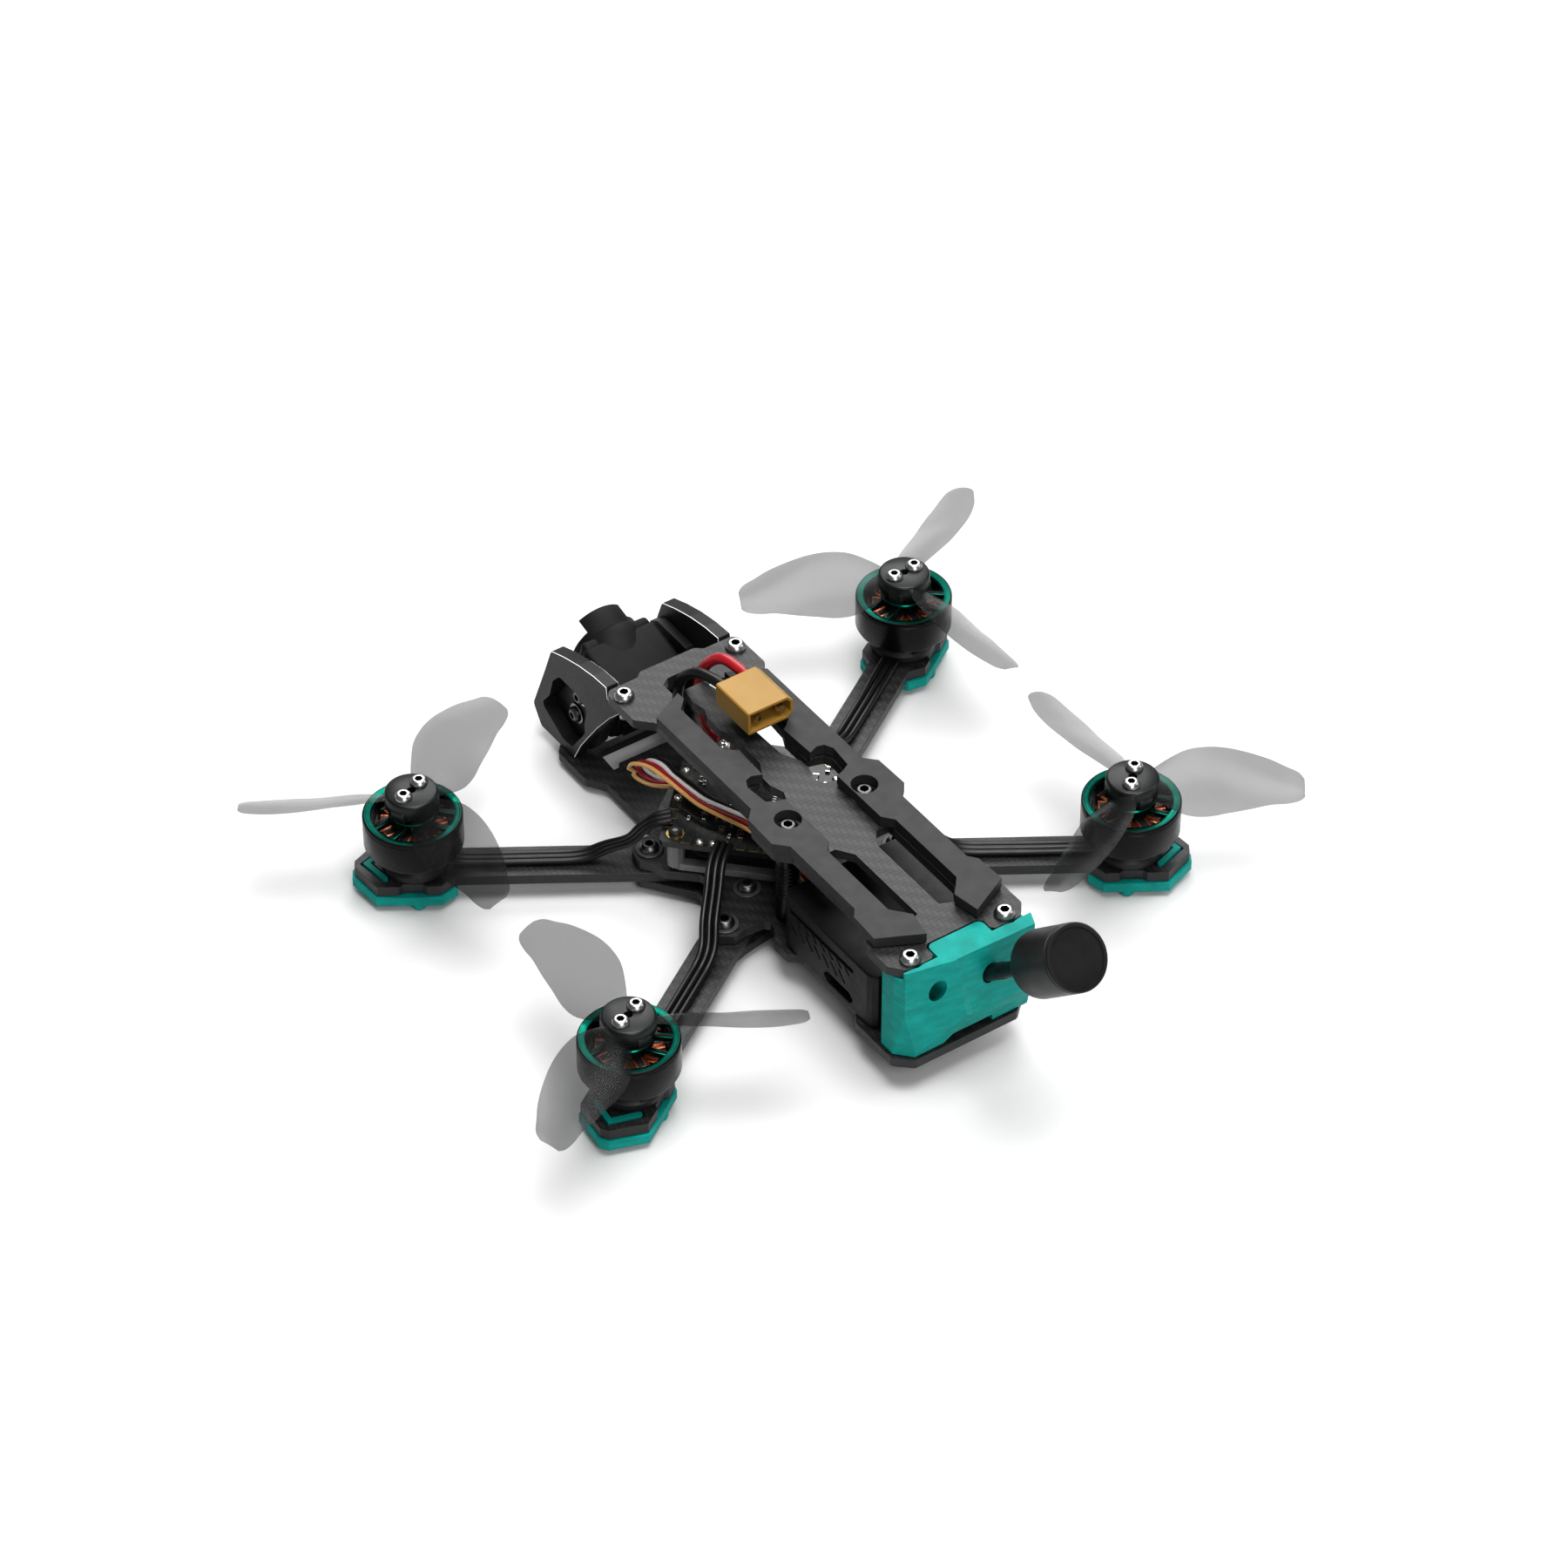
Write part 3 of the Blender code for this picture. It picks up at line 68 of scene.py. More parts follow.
CAMERA_PIVOT, TILT_SLOT_RADIUS, TILT_SCREW_ANGLE = (-50.2, 10.0), 6.0, 72.5
BARREL_RADIUS, BARREL_END, PETAL_END = 7.3, 11.5, 14.7
ANTENNA_FOOT, ANTENNA_END = Vector((-4.0, 63.6, 21.2)), Vector((-5.3, 86.8, 42.2))


# -------------------- camera, floor and light

def aim(item, place, target):
    """Put an object at a place, looking at a target."""
    item.location = Vector(place) * MM
    item.rotation_mode = "QUATERNION"
    item.rotation_quaternion = (Vector(target) - Vector(place)).to_track_quat("-Z", "Y")


def make_camera():
    """The camera, behind and left of the drone, looking down at it."""
    turn, rise = math.radians(VIEW_AZIMUTH), math.radians(VIEW_ELEVATION)
    back = Vector((math.sin(turn) * math.cos(rise), -math.cos(turn) * math.cos(rise), math.sin(rise)))
    data = bpy.data.cameras.new("view")
    data.lens = LENS
    data.sensor_width = SENSOR
    data.clip_start, data.clip_end = 0.01, 20
    item = bpy.data.objects.new("view", data)
    bpy.context.scene.collection.objects.link(item)
    target = Vector(VIEW_TARGET)
    aim(item, target + back * VIEW_DISTANCE, target)
    bpy.context.scene.camera = item


def area_light(name, place, size, power):
    """A square soft light that shines at the drone's middle."""
    data = bpy.data.lights.new(name, "AREA")
    data.shape = "SQUARE"
    data.size = size * MM
    data.energy = power
    item = bpy.data.objects.new(name, data)
    bpy.context.scene.collection.objects.link(item)
    aim(item, place, (0, 0, 15))


def make_stage():
    """A pale floor, a white world and four soft lights."""
    shape = bmesh.new()
    bmesh.ops.create_grid(shape, x_segments=1, y_segments=1, size=6)
    mesh = bpy.data.meshes.new("floor")
    shape.to_mesh(mesh)
    shape.free()
    floor = bpy.data.objects.new("floor", mesh)
    floor.location = (0, 0, (FLOOR - 0.02) * MM)
    bpy.context.scene.collection.objects.link(floor)
    paint, _, _, shader = new_material("pale_floor")
    shader.inputs["Base Color"].default_value = (0.58, 0.58, 0.58, 1)
    shader.inputs["Roughness"].default_value = 0.9
    mesh.materials.append(paint)
    world = bpy.data.worlds.new("studio")
    world.use_nodes = True
    world.node_tree.nodes["Background"].inputs["Color"].default_value = (1, 1, 1, 1)
    world.node_tree.nodes["Background"].inputs["Strength"].default_value = 0.2
    bpy.context.scene.world = world
    area_light("key", (0, 150, 1000), 600, 11.0)
    area_light("rear", (260, 800, 640), 450, 4.5)
    area_light("side", (-750, 300, 500), 300, 1.5)
    area_light("front", (-430, -620, 700), 700, 7.0)
    bpy.context.scene.view_settings.view_transform = "Standard"
    bpy.context.scene.view_settings.look = "Medium High Contrast"


# -------------------- material helpers

def new_material(name):
    """A material with its node tree and Principled shader."""
    paint = bpy.data.materials.new(name)
    paint.use_nodes = True
    tree = paint.node_tree
    return paint, tree.nodes, tree.links, tree.nodes["Principled BSDF"]


def math_node(nodes, links, operation, *values):
    """A Math node's output, fed with numbers and other nodes' outputs."""
    node = nodes.new("ShaderNodeMath")
    node.operation = operation
    for target, value in zip(node.inputs, values):
        if hasattr(value, "links"):
            links.new(value, target)
        else:
            target.default_value = value
    return node.outputs[0]


def scaled(nodes, links, value, factor, offset):
    """A value times a factor, plus an offset."""
    return math_node(nodes, links, "MULTIPLY_ADD", value, factor, offset)


def wave(nodes, links, place, pitch):
    """A sine along a place in metres, with a pitch in millimetres."""
    return math_node(nodes, links, "SINE", math_node(nodes, links, "MULTIPLY", place, WAVE / pitch))


def separate(nodes, links, vector):
    """The X, Y and Z outputs of a vector."""
    node = nodes.new("ShaderNodeSeparateXYZ")
    links.new(vector, node.inputs[0])
    return node.outputs


def blend(nodes, links, factor, low, high):
    """A mix of two numbers by a factor."""
    node = nodes.new("ShaderNodeMix")
    for socket, value in (("Factor", factor), ("A", low), ("B", high)):
        links.new(value, node.inputs[socket])
    return node.outputs["Result"]


def ramp(nodes, links, factor, low, high, start=0.0, end=1.0):
    """Blend between two colours as a factor goes from start to end."""
    node = nodes.new("ShaderNodeValToRGB")
    node.color_ramp.elements[0].position = start
    node.color_ramp.elements[0].color = (*low, 1)
    node.color_ramp.elements[1].position = end
    node.color_ramp.elements[1].color = (*high, 1)
    links.new(factor, node.inputs[0])
    return node.outputs[0]


def object_place(nodes):
    """Object texture coordinates, in metres in the drone's own frame."""
    return nodes.new("ShaderNodeTexCoord").outputs["Object"]


def noise(nodes, links, scale, detail=3.0, stretch=(1, 1, 1)):
    """Noise at a scale given in features per millimetre."""
    mapping = nodes.new("ShaderNodeMapping")
    mapping.inputs["Scale"].default_value = [1000 * scale * part for part in stretch]
    links.new(object_place(nodes), mapping.inputs["Vector"])
    node = nodes.new("ShaderNodeTexNoise")
    node.inputs["Scale"].default_value = 1.0
    node.inputs["Detail"].default_value = detail
    links.new(mapping.outputs[0], node.inputs["Vector"])
    return node.outputs["Fac"]


def bump(nodes, links, shader, height, depth, strength=1.0):
    """Drive the shader's normal from a height, with a depth in millimetres."""
    node = nodes.new("ShaderNodeBump")
    node.inputs["Strength"].default_value = strength
    node.inputs["Distance"].default_value = depth * MM
    links.new(height, node.inputs["Height"])
    links.new(node.outputs[0], shader.inputs["Normal"])


def plain(name, colour, rough, metallic=0.0, vary=0.25, grain=1.5, depth=0.02, coat=0.0, mottle=0.12,
          specular=0.5):
    """A finish with its own grain: colour mottling, roughness that wanders and a fine bump."""
    paint, nodes, links, shader = new_material(name)
    broad = noise(nodes, links, mottle, 4.0)
    low = [part * (1 - vary) for part in colour]
    high = [part * (1 + vary) for part in colour]
    links.new(ramp(nodes, links, broad, low, high, 0.3, 0.7), shader.inputs["Base Color"])
    fine = noise(nodes, links, grain, 3.0)
    uneven = noise(nodes, links, mottle * 3, 3.0)
    wander = scaled(nodes, links, uneven, 0.2, rough - 0.1)
    links.new(wander, shader.inputs["Roughness"])
    shader.inputs["Metallic"].default_value = metallic
    shader.inputs["Specular IOR Level"].default_value = specular
    shader.inputs["Coat Weight"].default_value = coat
    shader.inputs["Coat Roughness"].default_value = 0.12
    bump(nodes, links, shader, fine, depth)
    return paint


# -------------------- materials of the drone

def carbon_material(tow=0.95, ply=0.42):
    """Twill-woven carbon laminate: on the flat faces, warp tows painted lighter than weft tows and each
    tow's crown painted lighter than its edges, as painted sheen and shade; thin plies on the cut edges.
    """
    paint, nodes, links, shader = new_material("carbon_twill")
    place = separate(nodes, links, object_place(nodes))
    rows, crown_sheens = {}, {}
    for axis in "XY":
        rows[axis] = math_node(nodes, links, "MULTIPLY", place[axis], 1000 / tow)
        swell = math_node(nodes, links, "SINE", math_node(nodes, links, "MULTIPLY", rows[axis], math.pi))
        crown_sheens[axis] = math_node(nodes, links, "ABSOLUTE", swell)
    cells = [math_node(nodes, links, "FLOOR", rows[axis]) for axis in "XY"]
    walk = math_node(nodes, links, "ADD", *cells)
    phase = math_node(nodes, links, "FLOORED_MODULO", walk, 4.0)
    over = math_node(nodes, links, "LESS_THAN", phase, 2.0)
    fibres_along = noise(nodes, links, 1.0, 2.0, (0.25, 6.0, 1.0))
    fibres_across = noise(nodes, links, 1.0, 2.0, (6.0, 0.25, 1.0))
    streak = blend(nodes, links, over, fibres_along, fibres_across)
    crown_sheen = blend(nodes, links, over, crown_sheens["Y"], crown_sheens["X"])
    patch = noise(nodes, links, 0.16, 3.0)
    # Painted sheen and shade: warp tows are painted lighter than weft tows, and each tow is painted lighter
    # on its crown and darker where it meets the next.
    tone = scaled(nodes, links, over, 0.18, 0.03)
    for part, weight in ((streak, 0.42), (patch, 0.30), (crown_sheen, 0.26)):
        tone = scaled(nodes, links, part, weight, tone)
    ply_tone = scaled(nodes, links, wave(nodes, links, place["Z"], ply), 0.16, 0.45)
    edge_grain = noise(nodes, links, 0.8, 3.0, (1, 1, 5))
    ply_tone = scaled(nodes, links, edge_grain, 0.4, ply_tone)
    facing = separate(nodes, links, nodes.new("ShaderNodeNewGeometry").outputs["Normal"])
    upright = math_node(nodes, links, "ABSOLUTE", facing["Z"])
    level = math_node(nodes, links, "GREATER_THAN", upright, 0.6)
    mixed = blend(nodes, links, level, ply_tone, tone)
    colour = ramp(nodes, links, mixed, (0.002, 0.002, 0.0021), (0.036, 0.0365, 0.038), 0.3, 1.0)
    links.new(colour, shader.inputs["Base Color"])
    rough = scaled(nodes, links, streak, 0.2, 0.34)
    links.new(rough, shader.inputs["Roughness"])
    shader.inputs["Specular IOR Level"].default_value = 0.35
    bump(nodes, links, shader, mixed, 0.035)
    return paint


def print_material(name, colour, pitch=0.22):
    """Printed plastic with fine level layers, slightly uneven, and a soft sheen."""
    paint, nodes, links, shader = new_material(name)
    place = separate(nodes, links, object_place(nodes))
    wobble = math_node(nodes, links, "MULTIPLY", noise(nodes, links, 0.3, 2.0), 0.0001)
    layers = wave(nodes, links, math_node(nodes, links, "ADD", place["Z"], wobble), pitch)
    broad = noise(nodes, links, 0.25, 4.0, (1, 1, 3))
    tone = scaled(nodes, links, layers, 0.10, broad)
    low = [part * 0.78 for part in colour]
    high = [min(1.0, part * 1.18) for part in colour]
    links.new(ramp(nodes, links, tone, low, high, 0.25, 0.75), shader.inputs["Base Color"])
    rough = scaled(nodes, links, noise(nodes, links, 1.2, 3.0), 0.2, 0.42)
    links.new(rough, shader.inputs["Roughness"])
    shader.inputs["Specular IOR Level"].default_value = 0.15
    shader.inputs["Subsurface Weight"].default_value = 0.06
    shader.inputs["Subsurface Scale"].default_value = 0.0015
    bump(nodes, links, shader, layers, 0.03, 0.6)
    return paint


def smoke_material():
    """Smoky clear plastic with faint flow marks, for the blades."""
    paint, nodes, links, shader = new_material("smoke_blade")
    flow = noise(nodes, links, 0.22, 2.0)
    links.new(ramp(nodes, links, flow, (0.008, 0.008, 0.0083), (0.02, 0.02, 0.0206), 0.3, 0.75),
              shader.inputs["Base Color"])
    rough = scaled(nodes, links, noise(nodes, links, 0.8, 3.0), 0.14, 0.16)
    links.new(rough, shader.inputs["Roughness"])
    shader.inputs["Alpha"].default_value = 0.42
    shader.inputs["Specular IOR Level"].default_value = 0.22
    bump(nodes, links, shader, noise(nodes, links, 0.6, 2.0), 0.015)
    return paint


def cheek_material():
    """Dark satin cheeks: fine blasted faces, and near-white colour painted on the faces that turn at 45
    degrees, as a painted highlight along the chamfers.
    """
    paint, nodes, links, shader = new_material("cheek_anodised")
    facing = separate(nodes, links, nodes.new("ShaderNodeNewGeometry").outputs["Normal"])
    side = math_node(nodes, links, "ABSOLUTE", facing["X"])
    chamfer_highlight = math_node(nodes, links, "COMPARE", side, 0.62, 0.27)
    broad = noise(nodes, links, 0.12, 4.0)
    dark = ramp(nodes, links, broad, (0.008, 0.008, 0.0085), (0.017, 0.017, 0.0178), 0.3, 0.7)
    # Painted highlight: the slanted chamfer faces are painted near-white.
    mix = nodes.new("ShaderNodeMix")
    mix.data_type = "RGBA"
    links.new(chamfer_highlight, mix.inputs["Factor"])
    links.new(dark, mix.inputs["A"])
    mix.inputs["B"].default_value = (0.92, 0.92, 0.92, 1)
    links.new(mix.outputs["Result"], shader.inputs["Base Color"])
    rough = scaled(nodes, links, noise(nodes, links, 2.0, 3.0), 0.2, 0.3)
    links.new(rough, shader.inputs["Roughness"])
    shader.inputs["Specular IOR Level"].default_value = 0.18
    bump(nodes, links, shader, noise(nodes, links, 3.0, 3.0), 0.012)
    return paint


def turned_metal(name, colour, rough, vary=0.2):
    """Metal with fine turning rings and slightly uneven colour."""
    paint, nodes, links, shader = new_material(name)
    broad = noise(nodes, links, 0.5, 4.0)
    low = [part * (1 - vary) for part in colour]
    high = [min(1.0, part * (1 + vary)) for part in colour]
    links.new(ramp(nodes, links, broad, low, high, 0.3, 0.7), shader.inputs["Base Color"])
    shader.inputs["Metallic"].default_value = 1.0
    rings = noise(nodes, links, 1.0, 3.0, (1, 1, 14))
    links.new(scaled(nodes, links, rings, 0.16, rough - 0.08), shader.inputs["Roughness"])
    bump(nodes, links, shader, rings, 0.008)
    return paint


def winding_material(pitch=0.45):
    """Enamelled copper wire, wound in close turns, each turn painted darker at its edges and lighter on its
    crown as painted shade and highlight.
    """
    paint, nodes, links, shader = new_material("copper_windings")
    turns = wave(nodes, links, separate(nodes, links, object_place(nodes))["Z"], pitch)
    # Painted shade and highlight: each turn darker at its edges, lighter on its crown.
    links.new(ramp(nodes, links, turns, (0.36, 0.10, 0.045), (0.78, 0.30, 0.16), 0.0, 1.0),
              shader.inputs["Base Color"])
    shader.inputs["Metallic"].default_value = 0.85
    links.new(scaled(nodes, links, noise(nodes, links, 2.0), 0.2, 0.22),
              shader.inputs["Roughness"])
    bump(nodes, links, shader, turns, 0.08)
    return paint


def make_materials():
    """Every finish, by a short name."""
    return {
        "carbon": carbon_material(),
        "cheek": cheek_material(),
        "teal": print_material("teal_print", (0.004, 0.245, 0.215)),
        "teal_metal": turned_metal("teal_anodised", (0.002, 0.11, 0.08), 0.3),
        "bell": plain("bell_black", (0.003, 0.003, 0.0032), 0.26, 0.0, 0.3, 2.0, 0.003, specular=0.14),
        "stator": plain("stator_black", (0.020, 0.020, 0.020), 0.5, 0.5, 0.3, 1.5, 0.02),
        "windings": winding_material(),
        "smoke": smoke_material(),
        "hub": plain("hub_gloss", (0.006, 0.007, 0.007), 0.36, 0.0, 0.4, 1.4, 0.008, specular=0.3),
        "silicone": plain("black_silicone", (0.0045, 0.0045, 0.0048), 0.36, 0.0, 0.3, 1.2, 0.012,
                          specular=0.35),
        "red": plain("red_silicone", (0.27, 0.006, 0.012), 0.32, 0.0, 0.14, 1.2, 0.012, 0.1),
        "tan": plain("tan_wire", (0.48, 0.27, 0.09), 0.38, 0.0, 0.14, 1.2, 0.01, 0.2),
        "white": plain("white_wire", (0.72, 0.70, 0.68), 0.38, 0.0, 0.1, 1.2, 0.01, 0.2),
        "steel": turned_metal("polished_steel", (0.34, 0.336, 0.332), 0.3, 0.12),
        "washer": plain("grey_washer", (0.07, 0.07, 0.073), 0.45, 0.5, 0.25, 2.0, 0.01),
        "dark_steel": turned_metal("dark_steel", (0.11, 0.11, 0.115), 0.36),
        "aluminium": turned_metal("black_anodised", (0.03, 0.03, 0.033), 0.34),
        "pad": plain("pad_rubber", (0.021, 0.021, 0.0214), 0.58, 0.0, 0.09, 1.8, 0.02, specular=0.35),
        "camera": plain("camera_plastic", (0.006, 0.006, 0.0063), 0.55, 0.0, 0.25, 2.6, 0.03,
                        specular=0.15),
        "plastic": plain("black_plastic", (0.006, 0.006, 0.0063), 0.48, 0.0, 0.3, 2.2, 0.018,
                         specular=0.25),
        "antenna": plain("antenna_plastic", (0.008, 0.008, 0.0083), 0.38, 0.0, 0.2, 1.6, 0.01,
                         specular=0.3),
        "glass": plain("lens_glass", (0.004, 0.005, 0.009), 0.12, 0.0, 0.3, 0.2, 0.001, 1.0),
        "grey": plain("grey_frame", (0.13, 0.13, 0.132), 0.5, 0.0, 0.12, 1.5, 0.012),
        "board": plain("solder_mask", (0.005, 0.0065, 0.006), 0.3, 0.0, 0.45, 1.2, 0.03, 0.0, 0.5,
                       specular=0.4),
        # Real black of chips, soft mounts and the lens ring; also the painted shade in the screw sockets.
        "chip": plain("chip_black", (0.007, 0.007, 0.0073), 0.45, 0.0, 0.3, 2.0, 0.01, specular=0.3),
        "gold": turned_metal("gold_plate", (0.86, 0.62, 0.27), 0.24, 0.12),
        "solder": turned_metal("bright_solder", (0.74, 0.74, 0.72), 0.26, 0.1),
        "amber": plain("amber_nylon", (0.27, 0.155, 0.032), 0.42, 0.0, 0.06, 1.4, 0.012, specular=0.3),
        "ceramic": plain("tan_ceramic", (0.42, 0.33, 0.2), 0.45, 0.0, 0.2, 2.0, 0.01),
    }


# -------------------- mesh helpers

def put(name, shape, paints, body, replaced=(), sharp=35.0):
    """Turn a bmesh in millimetres into a piece: metres, smooth where it is round, riding on a body."""
    bmesh.ops.remove_doubles(shape, verts=shape.verts, dist=2e-4)
    bmesh.ops.recalc_face_normals(shape, faces=shape.faces)
    bmesh.ops.scale(shape, vec=(MM, MM, MM), verts=shape.verts)
    mesh = bpy.data.meshes.new(name)
    shape.to_mesh(mesh)
    shape.free()
    for paint in (paints if isinstance(paints, (list, tuple)) else [paints]):
        mesh.materials.append(paint)
    mesh.shade_smooth()
    mesh.set_sharp_from_angle(angle=math.radians(sharp))
    item = bpy.data.objects.new(name, mesh)
    bpy.context.scene.collection.objects.link(item)
    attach(item, body)
    if replaced:
        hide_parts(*replaced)
    return item


def ring_of(shape, radius, height, sides):
    """A level ring of vertices about +Z, or one vertex where the radius is nothing."""
    if radius <= 1e-6:
        return [shape.verts.new((0, 0, height))]
    turns = [2 * math.pi * k / sides for k in range(sides)]
    return [shape.verts.new((radius * math.cos(turn), radius * math.sin(turn), height)) for turn in turns]


def bridge(shape, first, second, sides, finish):
    """Join two rings with faces; a ring of one vertex is a tip."""
    for k in range(sides):
        after = (k + 1) % sides
        corners = [first[k % len(first)], first[after % len(first)], second[after % len(second)],
                   second[k % len(second)]]
        kept = list(dict.fromkeys(corners))
        if len(kept) > 2:
            shape.faces.new(kept).material_index = finish


def settle(shape, rings, place, spin):
    """Turn and move finished rings to their place."""
    matrix = Matrix.Translation(Vector(place)) @ (spin.to_4x4() if spin is not None else Matrix.Identity(4))
    bmesh.ops.transform(shape, matrix=matrix, verts=[spot for ring in rings for spot in ring])


def lathe(shape, profile, centre, sides=64, finish=0, spin=None):
    """Add a solid of revolution about +Z through a centre; a profile off the axis makes a ring."""
    rings = [ring_of(shape, radius, height, sides) for radius, height in profile]
    pairs = list(zip(rings, rings[1:]))
    if profile[0][0] > 1e-6:
        pairs.append((rings[-1], rings[0]))
    for first, second in pairs:
        bridge(shape, first, second, sides, finish)
    settle(shape, rings, centre, spin)


def crate(shape, low, high, turn=None, finish=0, bevel=0.0, segments=2):
    """Add a box between two corners, with rounded edges and a turn where asked."""
    made = bmesh.ops.create_cube(shape, size=1.0)["verts"]
    size = Vector([high[k] - low[k] for k in range(3)])
    middle = Vector([(high[k] + low[k]) / 2 for k in range(3)])
    bmesh.ops.scale(shape, vec=size, verts=made)
    bmesh.ops.translate(shape, vec=middle, verts=made)
    faces = {face for spot in made for face in spot.link_faces}
    if bevel > 0:
        edges = {edge for spot in made for edge in spot.link_edges}
        done = bmesh.ops.bevel(shape, geom=list(edges), offset=bevel, segments=segments, affect="EDGES",
                               profile=0.5)
        faces = {face for face in faces if face.is_valid} | set(done["faces"])
        made = list({spot for face in faces for spot in face.verts})
    for face in faces:
        face.material_index = finish
    if turn is not None:
        bmesh.ops.transform(shape, matrix=turn, verts=made)


def motor_place(corner):
    """A motor's axis in plan."""
    side, end = CORNERS[corner]
    return Vector((side * MOTOR_X, end * MOTOR_Y, 0))


def on_arm(corner, along, height=0.0):
    """A point over an arm's middle line, at a distance from the frame's centre."""
    side, end = CORNERS[corner]
    ahead = Vector((side * MOTOR_X, end * MOTOR_Y, 0)).normalized()
    return ahead * along + Vector((0, 0, height))


def curve_at(before, here, there, after, t):
    """A smooth curve's value, as t goes from 0 at here to 1 at there."""
    return 0.5 * (2 * here + (there - before) * t
                  + (2 * before - 5 * here + 4 * there - after) * t * t
                  + (3 * here - before - 3 * there + after) * t ** 3)


def smooth_line(points, count, fine=24):
    """Evenly placed points on a smooth curve through a route's own points."""
    spots = [Vector(point) for point in points]
    spots = [2 * spots[0] - spots[1], *spots, 2 * spots[-1] - spots[-2]]
    dense = []
    for index in range(1, len(spots) - 2):
        dense += [curve_at(*spots[index - 1:index + 3], step / fine) for step in range(fine)]
    dense.append(spots[-2])
    total = [0.0]
    for first, second in zip(dense, dense[1:]):
        total.append(total[-1] + (second - first).length)
    even, index = [], 0
    for step in range(count + 1):
        target = total[-1] * step / count
        while index < len(dense) - 2 and total[index + 1] < target:
            index += 1
        share = (target - total[index]) / max(total[index + 1] - total[index], 1e-9)
        even.append(dense[index].lerp(dense[index + 1], share))
    return even


def wire(name, path, diameter, paint, replaced=()):
    """A round wire of the frame along a path, as a curve with filled ends."""
    curve = bpy.data.curves.new(name, "CURVE")
    curve.dimensions = "3D"
    curve.bevel_depth = diameter / 2 * MM
    curve.bevel_resolution = 4
    curve.use_fill_caps = True
    spline = curve.splines.new("POLY")
    spline.points.add(len(path) - 1)
    for point, place in zip(spline.points, path):
        point.co = (*(place * MM), 1)
    spline.use_smooth = True
    curve.materials.append(paint)
    item = bpy.data.objects.new(name, curve)
    bpy.context.scene.collection.objects.link(item)
    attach(item, "frame")
    if replaced:
        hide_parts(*replaced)
    return item


# -------------------- cords

def battery_leads(paint):
    """The red and black leads, from the board up through the deck's front opening to the plug."""
    routes = {
        "red": [(-2.9, -21.8, 16.2), (-2.8, -24.6, 16.3), (-2.6, -27.0, 18.6), (-2.5, -28.3, 22.6),
                (-2.9, -28.4, 27.6), (-3.9, -27.0, 31.6), (-5.1, -23.8, 34.2), (-5.9, -19.6, 34.2),
                (-6.1, -16.7, 33.8)],
        "black": [(2.9, -21.8, 16.2), (2.8, -24.6, 16.3), (2.6, -27.0, 18.6), (2.4, -28.3, 22.6),
                  (2.2, -28.4, 27.0), (1.6, -27.2, 30.6), (0.5, -24.0, 33.2), (-0.5, -19.6, 34.0),
                  (-0.9, -16.7, 33.8)],
    }
    for colour, finish in (("red", "red"), ("black", "silicone")):
        path = smooth_line(routes[colour], 44)
        item = wire(f"battery_lead_{colour}", path, LEAD, paint[finish], replaced=[f"lead_{colour}"])


# -------------------- motors

def bell_piece(corner, paint):
    """A bell: gloss black skirt, teal rim, slanted teal spokes in pairs, a hub with a bore."""
    shape = bmesh.new()
    outer, low, high = BELL_RADIUS, BELL_LOW, BELL_HIGH
    lathe(shape, [(outer - 1.2, low + 0.05), (outer - 0.75, low), (outer - 0.3, low + 0.2),
                  (outer, low + 0.8), (outer, high - 1.1), (outer - 0.06, high - 1.02),
                  (outer - 0.06, high - 0.96),
                  (outer, high - 0.88), (outer, high - 0.34), (outer - 0.12, high - 0.12),
                  (outer - 0.3, high - 0.05), (outer - 0.8, high - 0.05), (outer - 0.8, high - 1.4),
                  (outer - 1.2, high - 1.5)], (0, 0, 0), 96, 0)
    lathe(shape, [(outer - 0.78, high - 0.1), (outer - 0.5, high + 0.02), (outer - 0.36, high),
                  (outer - 0.34, high - 0.08), (outer - 0.5, high - 0.3), (outer - 0.78, high - 0.3)],
          (0, 0, 0), 96, 1)
    lathe(shape, [(outer - 1.62, high - 1.0), (outer - 0.9, high - 1.2), (outer - 0.7, high - 0.02),
                  (outer - 0.95, high), (outer - 1.55, high - 0.16), (outer - 1.7, high - 0.45)],
          (0, 0, 0), 96, 1)
    lathe(shape, [(0, 5.4), (0.75, 5.4), (0.75, 15.6), (3.1, 15.6), (4.3, 16.0), (4.6, 16.4), (4.6, 17.6),
                  (4.4, 17.85), (0, 17.9)], (0, 0, 0), 48, 1)
    for pair in range(3):
        for slant in (-1, 1):
            turn = Matrix.Rotation(math.radians(120 * pair + 12 + 30 * slant), 4, "Z")
            shift = Matrix.Translation((3.6, 0, 0))
            lean = Matrix.Rotation(math.radians(-24 * slant), 4, "Z")
            crate(shape, (3.7, -0.62, 15.8), (outer - 1.25, 0.62, high - 0.12),
                  turn @ shift @ lean @ shift.inverted(), 1, 0.22, 2)
    shape.transform(Matrix.Translation(motor_place(corner)))
    put(f"bell_shape_{corner}", shape, [paint["bell"], paint["teal_metal"]], f"rotor_{corner}",
        [f"bell_{corner}"])


